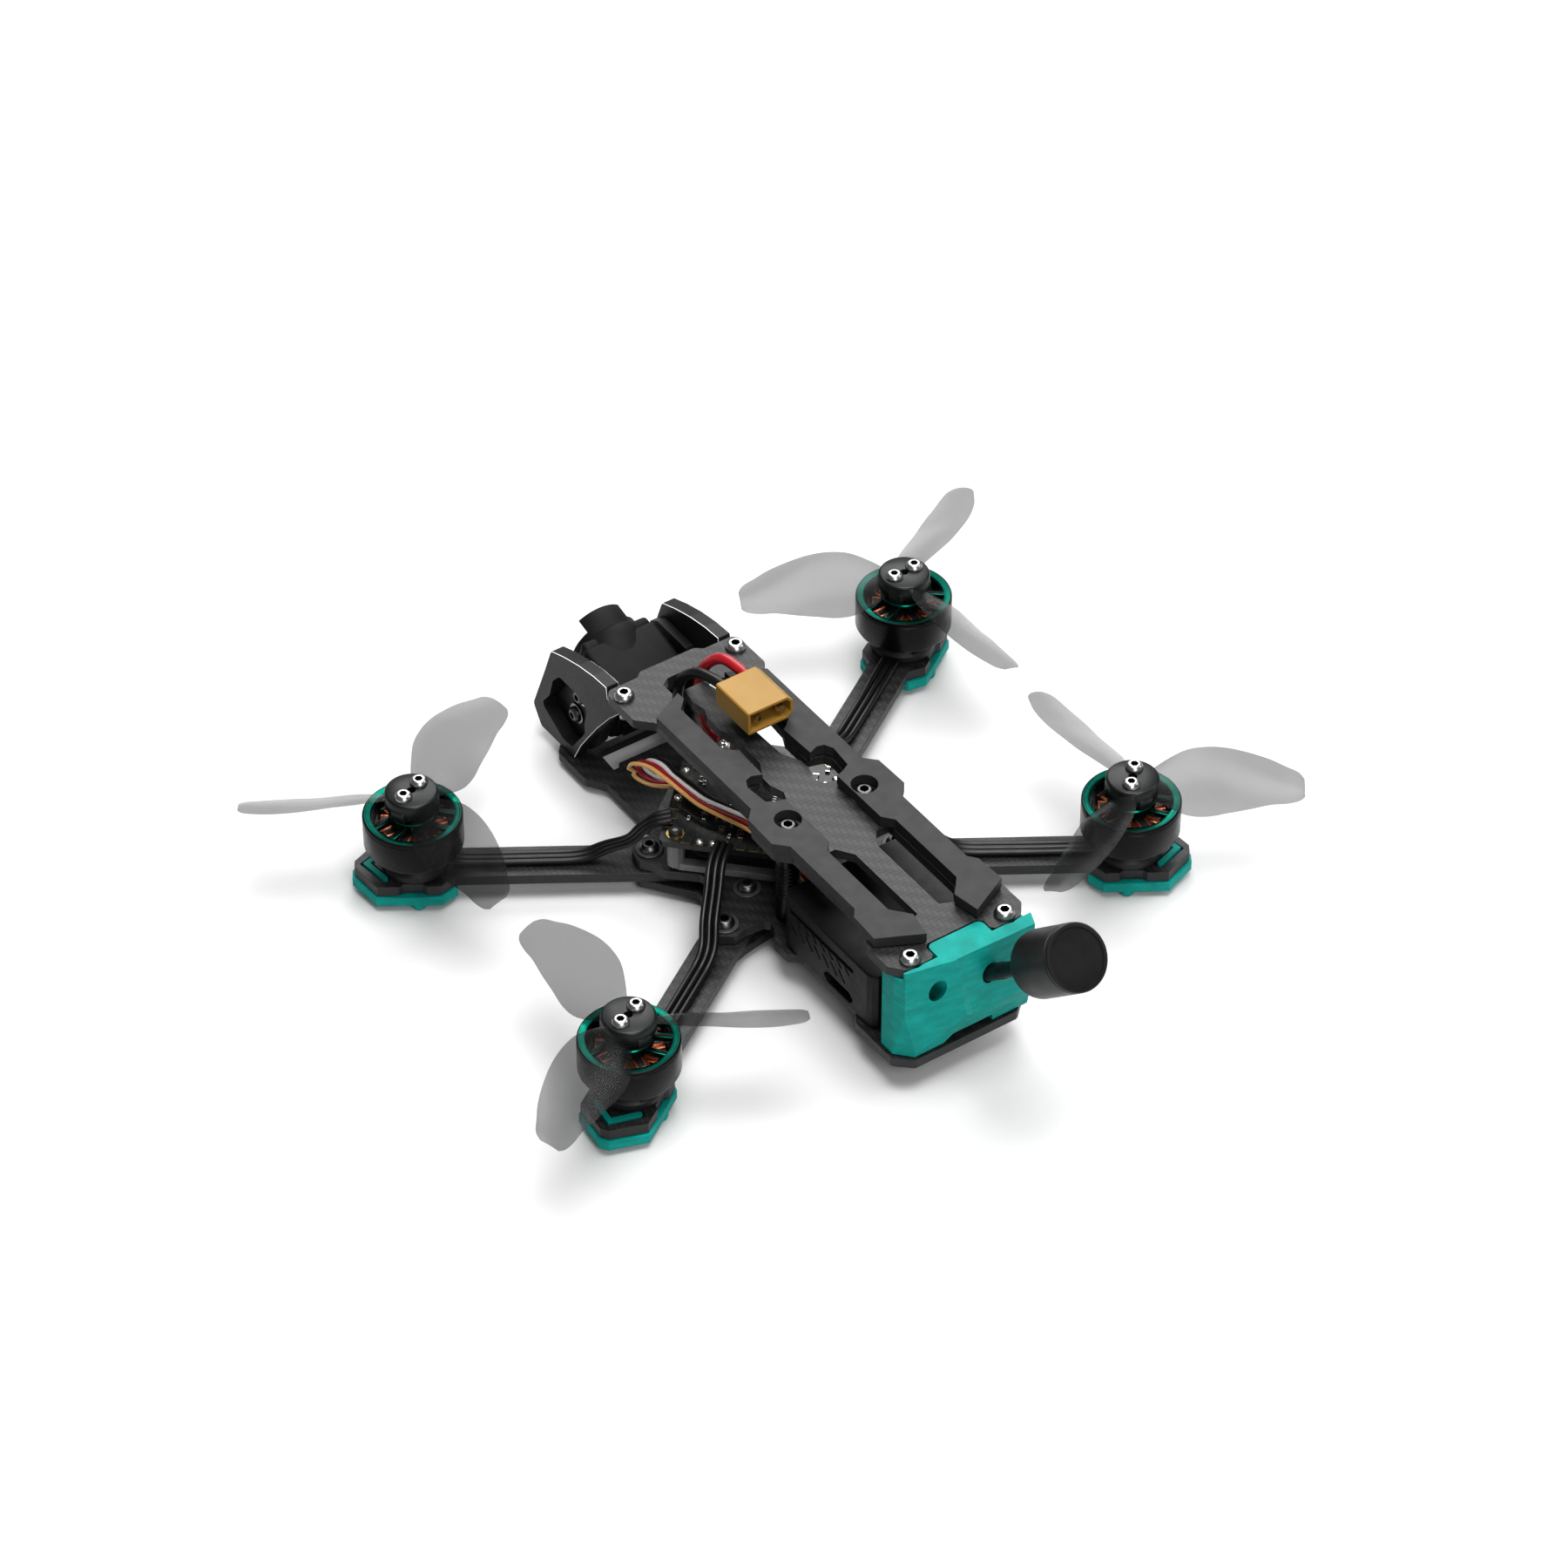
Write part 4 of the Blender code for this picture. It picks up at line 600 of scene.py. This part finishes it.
def stator_piece(corner, paint):
    """The still motor half: bolted foot, bearing tube, nine stator teeth and their copper windings."""
    shape = bmesh.new()
    lathe(shape, [(0.9, 4.6), (6.1, 4.6), (6.4, 4.8), (6.4, 6.0), (6.1, 6.3), (4.9, 7.5), (4.8, 9.5),
                  (2.6, 9.6), (2.6, 15.3), (2.2, 15.5), (0.9, 15.5)], (0, 0, 0))
    for tooth in range(STATOR_TEETH):
        turn = Matrix.Rotation(math.radians(360 / STATOR_TEETH * tooth), 4, "Z")
        crate(shape, (2.4, -0.5, 10.4), (6.9, 0.5, 14.4), turn, 0, 0.08, 1)
        crate(shape, (6.7, -1.9, 10.2), (7.5, 1.9, 14.6), turn, 0, 0.3, 2)
        crate(shape, (3.2, -1.25, 9.9), (6.5, 1.25, 14.95), turn, 1, 0.5, 3)
        for way in (-1, 1):
            crate(shape, (3.9, way * 1.45 - 0.3, 10.2), (6.4, way * 1.45 + 0.3, 14.7), turn, 1, 0.28, 2)
    side, end = CORNERS[corner]
    for step in range(4):
        turn = math.radians(45 + 90 * step) + math.atan2(end * MOTOR_Y, side * MOTOR_X)
        lathe(shape, [(0, 6.28), (0.95, 6.28), (0.95, 6.6), (0.6, 6.75), (0, 6.75)],
              (BOLT_CIRCLE * math.cos(turn), BOLT_CIRCLE * math.sin(turn), 0), 16)
    shape.transform(Matrix.Translation(motor_place(corner)))
    put(f"motor_stator_{corner}", shape, [paint["stator"], paint["windings"]], "frame",
        [f"motor_base_{corner}"])


def blade_sections():
    """Radius, leading and trailing edge offsets, middle height and pitch angle of each blade section."""
    return [(3.2, 2.6, -2.6, 20.6, 36.0), (6.0, 4.6, -4.0, 20.6, 35.0), (10.0, 6.9, -5.7, 20.4, 34.0),
            (14.0, 7.9, -5.7, 20.0, 34.0), (18.0, 8.05, -4.75, 19.65, 32.2), (22.0, 7.4, -4.0, 19.55, 28.5),
            (26.0, 6.35, -3.05, 19.4, 25.2), (29.0, 5.1, -2.7, 19.2, 23.5), (31.4, 4.0, -2.1, 19.15, 22.0),
            (32.5, 2.6, -1.2, 19.15, 22.0)]


def between(sections, share):
    """A section at a share of the way along, on a smooth curve through the given ones."""
    spot = share * (len(sections) - 1)
    index = min(int(spot), len(sections) - 2)
    t = spot - index
    picks = [sections[max(0, min(len(sections) - 1, index + shift))] for shift in (-1, 0, 1, 2)]
    return [curve_at(*four, t) for four in zip(*picks)]


def blade(shape, angle, spin, stations=34, across_steps=10):
    """Add one thin cambered blade, swept from the hub to a rounded tip."""
    rings = []
    for station in range(stations + 1):
        radius, lead, trail, height, pitch = between(blade_sections(), station / stations)
        chord = lead - trail
        thick = 0.95 - 0.6 * radius / PROP_RADIUS
        tilt = math.radians(pitch)
        upper, lower = [], []
        for step in range(across_steps + 1):
            share = step / across_steps
            across = lead - chord * share
            arch = 0.22 * chord * share * (1 - share)
            body = thick * (0.16 + 1.5 * math.sqrt(share) * (1 - share) ** 0.8) / 2
            upper.append((across, arch + body))
            lower.append((across, arch - body))
        ring = []
        for across, up in upper + list(reversed(lower)):
            side = across * math.cos(tilt) - up * math.sin(tilt)
            rise = across * math.sin(tilt) + up * math.cos(tilt)
            ring.append(shape.verts.new((radius, side * spin, height + rise)))
        rings.append(ring)
    count = len(rings[0])
    for first, second in zip(rings, rings[1:]):
        for index in range(count):
            after = (index + 1) % count
            shape.faces.new((first[index], first[after], second[after], second[index])).material_index = 1
    for ring in (rings[0], rings[-1]):
        shape.faces.new(ring).material_index = 1
    turn = Matrix.Rotation(math.radians(angle), 4, "Z")
    bmesh.ops.transform(shape, matrix=turn, verts=[spot for ring in rings for spot in ring])


def propeller_piece(corner, paint):
    """A propeller: glossy dark hub with a stepped foot, and three smoky blades."""
    shape = bmesh.new()
    radius, low, high = HUB_RADIUS, HUB_LOW, HUB_HIGH
    lathe(shape, [(0.85, low + 0.1), (radius - 0.9, low + 0.1), (radius - 0.7, low + 0.3),
                  (radius - 0.7, low + 1.1), (radius - 0.1, low + 1.3), (radius, low + 1.5),
                  (radius, high - 0.55), (radius - 0.16, high - 0.2), (radius - 0.5, high), (0.85, high)],
          (0, 0, 0))
    for step in range(3):
        blade(shape, BLADE_ANGLE[corner] + 120 * step, SPIN[corner])
        rib = Matrix.Rotation(math.radians(BLADE_ANGLE[corner] + 60 + 120 * step), 4, "Z")
        crate(shape, (radius - 1.2, -1.5, low + 0.2), (radius + 0.06, 1.5, low + 2.6), rib, 0, 0.35, 2)
    shape.transform(Matrix.Translation(motor_place(corner)))
    put(f"propeller_shape_{corner}", shape, [paint["hub"], paint["smoke"]], f"rotor_{corner}",
        [f"propeller_{corner}"])


def button_head(shape, place, radius, height, spin=None, turn=0.0, finish=0, socket_shade_finish=1):
    """Add a domed screw head with its hexagon socket in a near-black finish as painted shade, standing at a
    place along +Z or a given turn.
    """
    socket, sides = radius * 0.46, 24
    profile = [(0.0, 0.0), (1.0, 0.0), (1.0, 0.3), (0.95, 0.46), (0.84, 0.72), (0.74, 0.9), (0.66, 0.98),
               (0.56, 1.0)]
    rings = [ring_of(shape, radius * reach, height * rise, sides) for reach, rise in profile]
    for depth in (1.0, 0.1):
        ring = []
        for k in range(sides):
            angle = 2 * math.pi * k / sides
            lean = (angle + math.pi / 6) % (math.pi / 3) - math.pi / 6
            flat = socket * math.cos(math.pi / 6) / math.cos(lean)
            ring.append(shape.verts.new((flat * math.cos(angle + turn), flat * math.sin(angle + turn),
                                         height * depth)))
        rings.append(ring)
    rings.append(ring_of(shape, 0, height * 0.05, sides))
    # The socket's walls and floor take the socket finish, near-black as painted shade in the recess.
    for level, (first, second) in enumerate(zip(rings, rings[1:])):
        bridge(shape, first, second, sides, finish if level <= len(profile) - 1 else socket_shade_finish)
    settle(shape, rings, place, spin)


def propeller_screws(corner, paint):
    """Two button screws on the hub, with their shanks down into the bell."""
    shape = bmesh.new()
    turn = math.radians(SCREW_ANGLE[corner])
    for way in (1, -1):
        place = motor_place(corner) + Vector((way * 2.5 * math.cos(turn), way * 2.5 * math.sin(turn), 0))
        button_head(shape, place + Vector((0, 0, HUB_HIGH + 0.02)), 1.72, 1.08)
        lathe(shape, [(0, 17.95), (0.9, 17.95), (0.9, HUB_HIGH + 0.04), (0, HUB_HIGH + 0.04)], place, 16)
    put(f"propeller_screws_{corner}", shape, [paint["steel"], paint["chip"]], f"rotor_{corner}",
        sharp=30)


def motor_wires(corner, paint):
    """Three wires side by side along the arm and up to the board's pads."""
    top = ARM_TOP + 0.9
    side = CORNERS[corner][0]
    front = corner.startswith("front")
    route = [on_arm(corner, along, top + lift) for along, lift in
             ((REACH - 6.9, 0.2), (REACH - 12, 0.0), (44.0, 0.0), (36.0, 0.3), (31.5, 2.2))]
    if front:
        route += [Vector((side * 23.6, -13.6, 10.4)), Vector((side * 21.3, -12.2, 13.2)),
                  Vector((side * 19.2, -10.9, 15.2)), Vector((side * 16.6, -9.4, 15.9))]
    else:
        route += [Vector((side * 22.9, 12.6, 9.6)), Vector((side * 19.6, 9.0, 12.4)),
                  Vector((side * 16.4, 5.4, 14.9)), Vector((side * 12.6, 2.4, 15.9))]
    steps, pitch = 60, 1.25
    middle = smooth_line(route, steps)
    for strand in range(3):
        path = []
        for index, place in enumerate(middle):
            ahead = middle[min(index + 1, steps)] - middle[max(index - 1, 0)]
            across = Vector((ahead.y, -ahead.x, 0)).normalized()
            path.append(place + across * (strand - 1) * pitch)
        item = wire(f"motor_wire_{corner}_{strand + 1}", path, MOTOR_WIRE, paint["silicone"],
                    replaced=[f"motor_leads_{corner}"] if strand == 1 else ())


# -------------------- screws, spacers and kept frame pieces

def dress(name, paint, width=0.0, segments=2):
    """Give a CAD node its finish, and round its sharp edges a little."""
    item = NODES[name]
    item.data.materials.clear()
    item.data.materials.append(paint)
    if width > 0:
        weld = item.modifiers.new("weld", "WELD")
        weld.merge_threshold = 1e-6
        edge = item.modifiers.new("edge", "BEVEL")
        edge.width = width * MM
        edge.segments = segments
        edge.limit_method = "ANGLE"
        edge.angle_limit = math.radians(30)
        edge.use_clamp_overlap = True
        edge.harden_normals = True


def dress_frame(paint):
    """Finishes of the pieces whose CAD shape shows."""
    for name in ("lower_plate", "main_plate", "top_plate", *[f"arm_{corner}" for corner in CORNERS]):
        dress(name, paint["carbon"], 0.09)
    for side in ("left", "right"):
        dress(f"camera_plate_{side}", paint["cheek"])
        dress(f"camera_bracket_{side}", paint["plastic"], 0.15)
        dress(f"battery_pad_{side}", paint["pad"], 0.28, 3)
        dress(f"plug_pin_{side}", paint["gold"])
    for corner in CORNERS:
        dress(f"foot_{corner}", paint["teal"], 0.18)
    dress("antenna_mount", paint["teal"], 0.22)
    dress("air_unit", paint["plastic"], 0.1)
    dress("board_frame", paint["grey"], 0.2)
    dress("plug_shell", paint["amber"], 0.16)


def deck_screws(paint):
    """Six button screws that hold the deck."""
    places = {"front": (12.75, -30.9), "middle": (8.6, 17.5), "rear": (10.5, 58.7)}
    for row, (x, y) in places.items():
        for side, word in SIDES:
            shape = bmesh.new()
            place = Vector((side * x, y, 0))
            button_head(shape, place + Vector((0, 0, TOP_TOP + 0.05)), 2.0, 1.35, turn=0.3 * x)
            foot, head = TOP_TOP - 5, TOP_TOP + 0.06
            lathe(shape, [(0, foot), (0.95, foot), (0.95, head), (0, head)], place, 20)
            finish = paint["dark_steel" if row == "middle" else "steel"]
            put(f"deck_screw_shape_{row}_{word}", shape, [finish, paint["chip"]], "frame",
                [f"deck_screw_{row}_{word}"], 30)


def root_screws(paint):
    """Screws through the plates and arm roots, with washers above and heads below."""
    down = Matrix.Rotation(math.pi, 3, "X")
    for corner in CORNERS:
        shape = bmesh.new()
        for along in ARM_SCREWS:
            place = on_arm(corner, along)
            high = MAIN_TOP + 0.42
            lathe(shape, [(0, 0.1), (0.9, 0.1), (0.9, MAIN_TOP + 0.4), (0, MAIN_TOP + 0.4)], place, 20, 1)
            lathe(shape, [(1.0, MAIN_TOP + 0.02), (2.6, MAIN_TOP + 0.02), (2.7, MAIN_TOP + 0.12),
                          (2.7, MAIN_TOP + 0.34), (2.6, high), (1.0, high)], place, 40)
            button_head(shape, place + Vector((0, 0, high)), 1.9, 1.25, None, along, 1, 2)
            button_head(shape, place + Vector((0, 0, -0.02)), 1.9, 1.1, down, along, 1, 2)
        put(f"arm_root_screws_{corner}", shape, [paint[name] for name in ("washer", "dark_steel", "chip")],
            "frame", sharp=30)


def spacers(paint):
    """Four round spacers between the plates, with grip grooves round their middles."""
    for row, (x, y) in {"middle": (8.6, 17.5), "rear": (10.5, 58.7)}.items():
        for side, word in SIDES:
            low, high = MAIN_TOP + 0.3, TOP_TOP - 2.3
            profile = [(0, low + 0.02), (2.1, low), (2.3, low + 0.25)]
            for step in range(9):
                height = low + 6.0 + 0.9 * step
                profile += [(2.3, height), (2.12, height + 0.15), (2.12, height + 0.4), (2.3, height + 0.55)]
            profile += [(2.3, high - 0.25), (2.1, high), (0, high - 0.02)]
            shape = bmesh.new()
            lathe(shape, profile, (side * x, y, 0), 40)
            put(f"spacer_shape_{row}_{word}", shape, paint["aluminium"], "frame", [f"spacer_{row}_{word}"],
                30)


# -------------------- camera

def camera_matrix():
    """From the camera's own axes, with its lens along -Y, to the drone's frame, in millimetres."""
    return (Matrix.Translation(Vector((0, CAMERA_CENTRE[0], CAMERA_CENTRE[1])))
            @ Matrix.Rotation(math.radians(-CAMERA_PITCH), 4, "X"))


def barrel(shape, forward):
    """Add the lens barrel: a hump behind a plain tube, with a petal above and one below the lens."""
    radius, rim = BARREL_RADIUS, PETAL_END
    inner = 5.95
    lathe(shape, [(0, 3.2), (7.0, 3.2), (7.4, 4.6), (7.9, 7.0), (7.95, 9.0), (7.7, 9.5), (radius, 9.8),
                  (radius, BARREL_END - 0.3), (radius - 0.3, BARREL_END), (inner + 0.2, BARREL_END),
                  (inner, BARREL_END - 0.2), (inner, 9.2), (0, 9.2)], (0, 0, 0), 96, 0, forward)
    half = math.asin(4.5 / radius)
    profile = [(inner, BARREL_END - 0.4), (radius, BARREL_END - 0.4), (radius, rim - 0.45),
               (radius - 0.15, rim - 0.12), (radius - 0.45, rim), (inner + 0.25, rim), (inner, rim - 0.25)]
    steps = 18
    for way in (1, -1):
        rows = []
        for step in range(steps + 1):
            turn = half * (2 * step / steps - 1)
            rows.append([shape.verts.new((reach * math.sin(turn), -depth, way * reach * math.cos(turn)))
                         for reach, depth in profile])
        for first, second in zip(rows, rows[1:]):
            for k in range(len(profile)):
                after = (k + 1) % len(profile)
                shape.faces.new((first[k], first[after], second[after], second[k]))
        shape.faces.new(rows[0])
        shape.faces.new(rows[-1])


def camera_pieces(paint):
    """The camera: grainy housing with fins behind, stepped front, barrel, lens ring and lens."""
    forward = Matrix.Rotation(math.radians(90), 3, "X")
    shape = bmesh.new()
    crate(shape, (-8.3, -7.7, -7.05), (8.3, 5.4, 7.05), bevel=1.15, segments=4)
    crate(shape, (-7.4, 4.6, -6.1), (7.4, 6.0, 6.1), bevel=0.6, segments=3)
    for step in range(5):
        crate(shape, (-6.2, 5.6, -5.3 + 2.3 * step), (6.2, 6.75, -4.3 + 2.3 * step), bevel=0.18, segments=2)
    crate(shape, (-7.6, -9.4, -6.6), (7.6, -7.0, 6.6), bevel=0.9, segments=4)
    barrel(shape, forward)
    shape.transform(camera_matrix())
    put("camera_housing", shape, paint["camera"], "camera", ["camera_body"], 32)
    shape = bmesh.new()
    lathe(shape, [(4.7, 9.3), (5.85, 9.3), (5.85, 11.6), (5.6, 11.75), (5.0, 11.3), (4.7, 11.2)],
          (0, 0, 0), 72, 1, forward)
    lathe(shape, [(0, 9.3), (4.68, 9.3), (4.68, 11.15), (4.0, 11.65), (3.0, 12.05), (1.6, 12.33), (0, 12.4)],
          (0, 0, 0), 72, 0, forward)
    shape.transform(camera_matrix())
    put("camera_lens_cell", shape, [paint["glass"], paint["chip"]], "camera", ["camera_lens"],
        40)


def camera_screws(paint):
    """Pivot and tilt screws of the camera on both sides, each with a bright washer."""
    angle = math.radians(TILT_SCREW_ANGLE)
    pivot = Vector((0, *CAMERA_PIVOT))
    reach = Vector((0, math.cos(angle), math.sin(angle))) * TILT_SLOT_RADIUS
    for side, word in SIDES:
        shape = bmesh.new()
        turn = Matrix.Rotation(math.radians(90 * side), 3, "Y")
        for spot in (pivot, pivot + reach):
            place = spot + Vector((side * 11.15, 0, 0))
            lathe(shape, [(0, -3.6), (0.78, -3.6), (0.78, 0.2), (0, 0.2)], place, 24, 0, turn)
            lathe(shape, [(0.9, 0.05), (2.15, 0.05), (2.2, 0.12), (2.2, 0.34), (2.1, 0.4), (0.9, 0.4)],
                  place, 40, 1, turn)
            button_head(shape, place + Vector((side * 0.4, 0, 0)), 1.65, 1.0, turn, 0.4, socket_shade_finish=2)
        put(f"camera_screws_{word}", shape, [paint[name] for name in ("dark_steel", "steel", "chip")],
            "camera", [f"pivot_screw_{word}"], 30)


# -------------------- electronics

def board_turn():
    """The board's own axes, which stand at 45 degrees to the drone's, as a matrix."""
    return Matrix.Translation(Vector((0, BOARD_Y, 0))) @ Matrix.Rotation(math.radians(45), 4, "Z")


def solder(shape, place, radius, height, finish=0):
    """Add a solder dome."""
    profile = [(0, -0.05), (radius, -0.05)]
    for step in range(1, 6):
        lift = math.pi / 2 * step / 5
        profile.append((radius * math.cos(lift) if step < 5 else 0, height * math.sin(lift)))
    lathe(shape, profile, place, 20, finish)


def flight_board(paint):
    """The board with its pads, chips, plugs, soft mounts and solder."""
    draw = random.Random(11)
    shape = bmesh.new()
    reach, far = BOARD_SIDE * math.sqrt(2), BOARD_REACH
    nick = reach - far
    corners = [(nick, -far), (far, -nick), (far, nick), (nick, far), (-nick, far), (-far, nick),
               (-far, -nick), (-nick, -far)]
    top, low = BOARD_TOP, BOARD_TOP - 1.2
    rings = [[shape.verts.new((x, y + BOARD_Y, z)) for x, y in corners] for z in (low, top)]
    for k in range(8):
        shape.faces.new((rings[0][k], rings[0][(k + 1) % 8], rings[1][(k + 1) % 8], rings[1][k]))
    shape.faces.new(rings[0])
    shape.faces.new(rings[1])
    turn = board_turn()
    chips = [((-3.6, -3.6), (3.6, 3.6), 1.0), ((5.6, -2.4), (9.4, 2.2), 0.9),
             ((-9.6, -1.6), (-6.4, 1.6), 0.8), ((-2.0, 6.4), (2.0, 9.2), 0.9)]
    for (u0, v0), (u1, v1), tall in chips:
        crate(shape, (u0, v0, top), (u1, v1, top + tall), turn, 1, 0.12, 1)
        for edge in (-1, 1):
            count = int((u1 - u0) / 0.62)
            for k in range(count):
                u = u0 + 0.5 + k * (u1 - u0 - 1.0) / max(count - 1, 1)
                v = v0 - 0.3 if edge < 0 else v1 + 0.3
                crate(shape, (u - 0.13, v - 0.32, top), (u + 0.13, v + 0.32, top + 0.25), turn, 3)
    for k in range(74):
        u, v = draw.uniform(-12.6, 12.6), draw.uniform(-12.6, 12.6)
        if any(u0 - 1.2 < u < u1 + 1.2 and v0 - 1.4 < v < v1 + 1.4 for (u0, v0), (u1, v1), _ in chips):
            continue
        long, wide = draw.choice([(1.0, 0.5), (1.3, 0.8), (0.6, 1.1), (1.8, 1.1)])
        kind = draw.choice([1, 4, 4, 1])
        crate(shape, (u - long / 2, v - wide / 2, top), (u + long / 2, v + wide / 2, top + 0.45), turn,
              kind, 0.06, 1)
        for end in (-1, 1):
            crate(shape, (u + end * long / 2 - 0.14, v - wide / 2 - 0.02, top),
                  (u + end * long / 2 + 0.14, v + wide / 2 + 0.02, top + 0.47), turn, 3)
    for edge in range(4):
        side = turn @ Matrix.Rotation(math.radians(90 * edge), 4, "Z")
        for k in range(9):
            u = -10.4 + 2.6 * k
            crate(shape, (u - 0.85, 13.3, top - 0.02), (u + 0.85, 15.1, top + 0.06), side, 2, 0.03, 1)
            if draw.random() < 0.5:
                solder(shape, side @ Vector((u, 14.2, top + 0.05)), 0.75, 0.5, 3)
    for x, y in ((0, -18), (0, 18), (18, 0), (-18, 0)):
        place = (x, y + BOARD_Y, 0)
        lathe(shape, [(0.7, top + 0.03), (1.75, top + 0.03), (1.75, top + 0.1), (0.7, top + 0.1)],
              place, 28, 2)
        lathe(shape, [(0, top - 2.4), (1.3, top - 2.4), (1.3, top + 0.9), (1.1, top + 1.1), (0.6, top + 1.1),
                      (0.6, top + 0.5), (0, top + 0.5)], place, 28, 1)
    crate(shape, (-9.5, -9.5, low - 1.6), (9.5, 9.5, low), turn, 1, 0.2, 1)
    crate(shape, (-4.6, 11.0, low - 2.2), (4.6, 15.9, low), turn, 5, 0.3, 2)
    for x in (-2.9, 2.9):
        solder(shape, Vector((x, -21.2, top)), 1.75, 2.0, 3)
    finishes = [paint[name] for name in ("board", "chip", "gold", "solder", "ceramic", "steel")]
    put("flight_controller_shape", shape, finishes, "frame", ["flight_controller"], 30)


def harness_wires(paint):
    """Signal wires from under the board's front-left edge, up in a loop and back to the video unit."""
    route = [(6.0, -19.0, 12.6), (8.6, -21.6, 11.6), (11.4, -24.4, 11.5), (13.6, -26.6, 13.4),
             (13.5, -26.0, 16.2), (12.2, -22.4, 17.5), (11.2, -18.0, 17.4), (10.6, -13.4, 17.2),
             (10.0, -8.4, 17.2), (8.4, -3.8, 17.2), (6.4, 1.0, 17.0), (4.9, 6.5, 16.6), (4.2, 12.0, 15.8),
             (4.0, 17.6, 14.0), (4.0, 22.2, 13.2)]
    steps, pitch, loop_end = 90, 0.95, 0.36
    middle = smooth_line(route, steps)
    away = Vector((1, -1, 0)).normalized()
    for strand, finish in enumerate(("tan", "red", "white", "silicone")):
        path = []
        across = Vector()
        for index, place in enumerate(middle):
            ahead = middle[min(index + 1, steps)] - middle[max(index - 1, 0)]
            flip = 1 if across.dot((ahead.y, -ahead.x, 0)) >= 0 else -1
            across = Vector((ahead.y, -ahead.x, 0)).normalized() * flip
            share = index / steps
            loop = math.sin(math.pi * min(1.0, share / loop_end))
            lift = 0.3 * math.sin(share * math.pi * (2 + strand))
            path.append(place + across * (strand - 1.5) * pitch + Vector((0, 0, lift))
                        - away * loop * 1.1 * strand)
        item = wire(f"signal_wire_{strand + 1}", path, SIGNAL_WIRE, paint[finish],
                    replaced=["harness"] if strand == 0 else ())


# -------------------- antenna

def antenna(paint):
    """The antenna's coaxial stem and its plain round cap with a fine groove near the end."""
    aim_line = (ANTENNA_END - ANTENNA_FOOT).normalized()
    turn = aim_line.to_track_quat("Z", "Y").to_matrix()
    length = (ANTENNA_END - ANTENNA_FOOT).length
    shape = bmesh.new()
    lathe(shape, [(0, -7.4), (1.5, -7.4), (1.5, 3.2), (1.62, 3.4), (1.62, 5.2), (1.5, 5.4),
                  (1.5, length - 9.4), (0, length - 9.4)], ANTENNA_FOOT, 40, 0, turn)
    put("antenna_stem", shape, paint["silicone"], "frame", ["antenna_tube"], 30)
    shape = bmesh.new()
    base = length - 14.0
    lathe(shape, [(0, base + 5.4), (1.8, base + 5.4), (1.8, base), (4.9, base), (5.6, base + 0.3),
                  (6.2, base + 0.9), (6.35, base + 1.6), (6.35, length - 1.2), (6.22, length - 1.1),
                  (6.22, length - 0.95),
                  (6.35, length - 0.85), (6.32, length - 0.35), (6.1, length - 0.08), (5.7, length),
                  (5.4, length), (5.3, length - 0.22), (0, length - 0.22)], ANTENNA_FOOT, 96, 0, turn)
    put("antenna_cap_shape", shape, paint["antenna"], "frame", ["antenna_cap"], 30)


# -------------------- the whole drone

def dress_drone():
    """Build every fine piece and dress every kept one."""
    paint = make_materials()
    dress_frame(paint)
    battery_leads(paint)
    for corner in CORNERS:
        stator_piece(corner, paint)
        bell_piece(corner, paint)
        propeller_piece(corner, paint)
        propeller_screws(corner, paint)
        motor_wires(corner, paint)
    deck_screws(paint)
    root_screws(paint)
    spacers(paint)
    camera_pieces(paint)
    camera_screws(paint)
    flight_board(paint)
    harness_wires(paint)
    antenna(paint)


make_camera()
make_stage()
dress_drone()
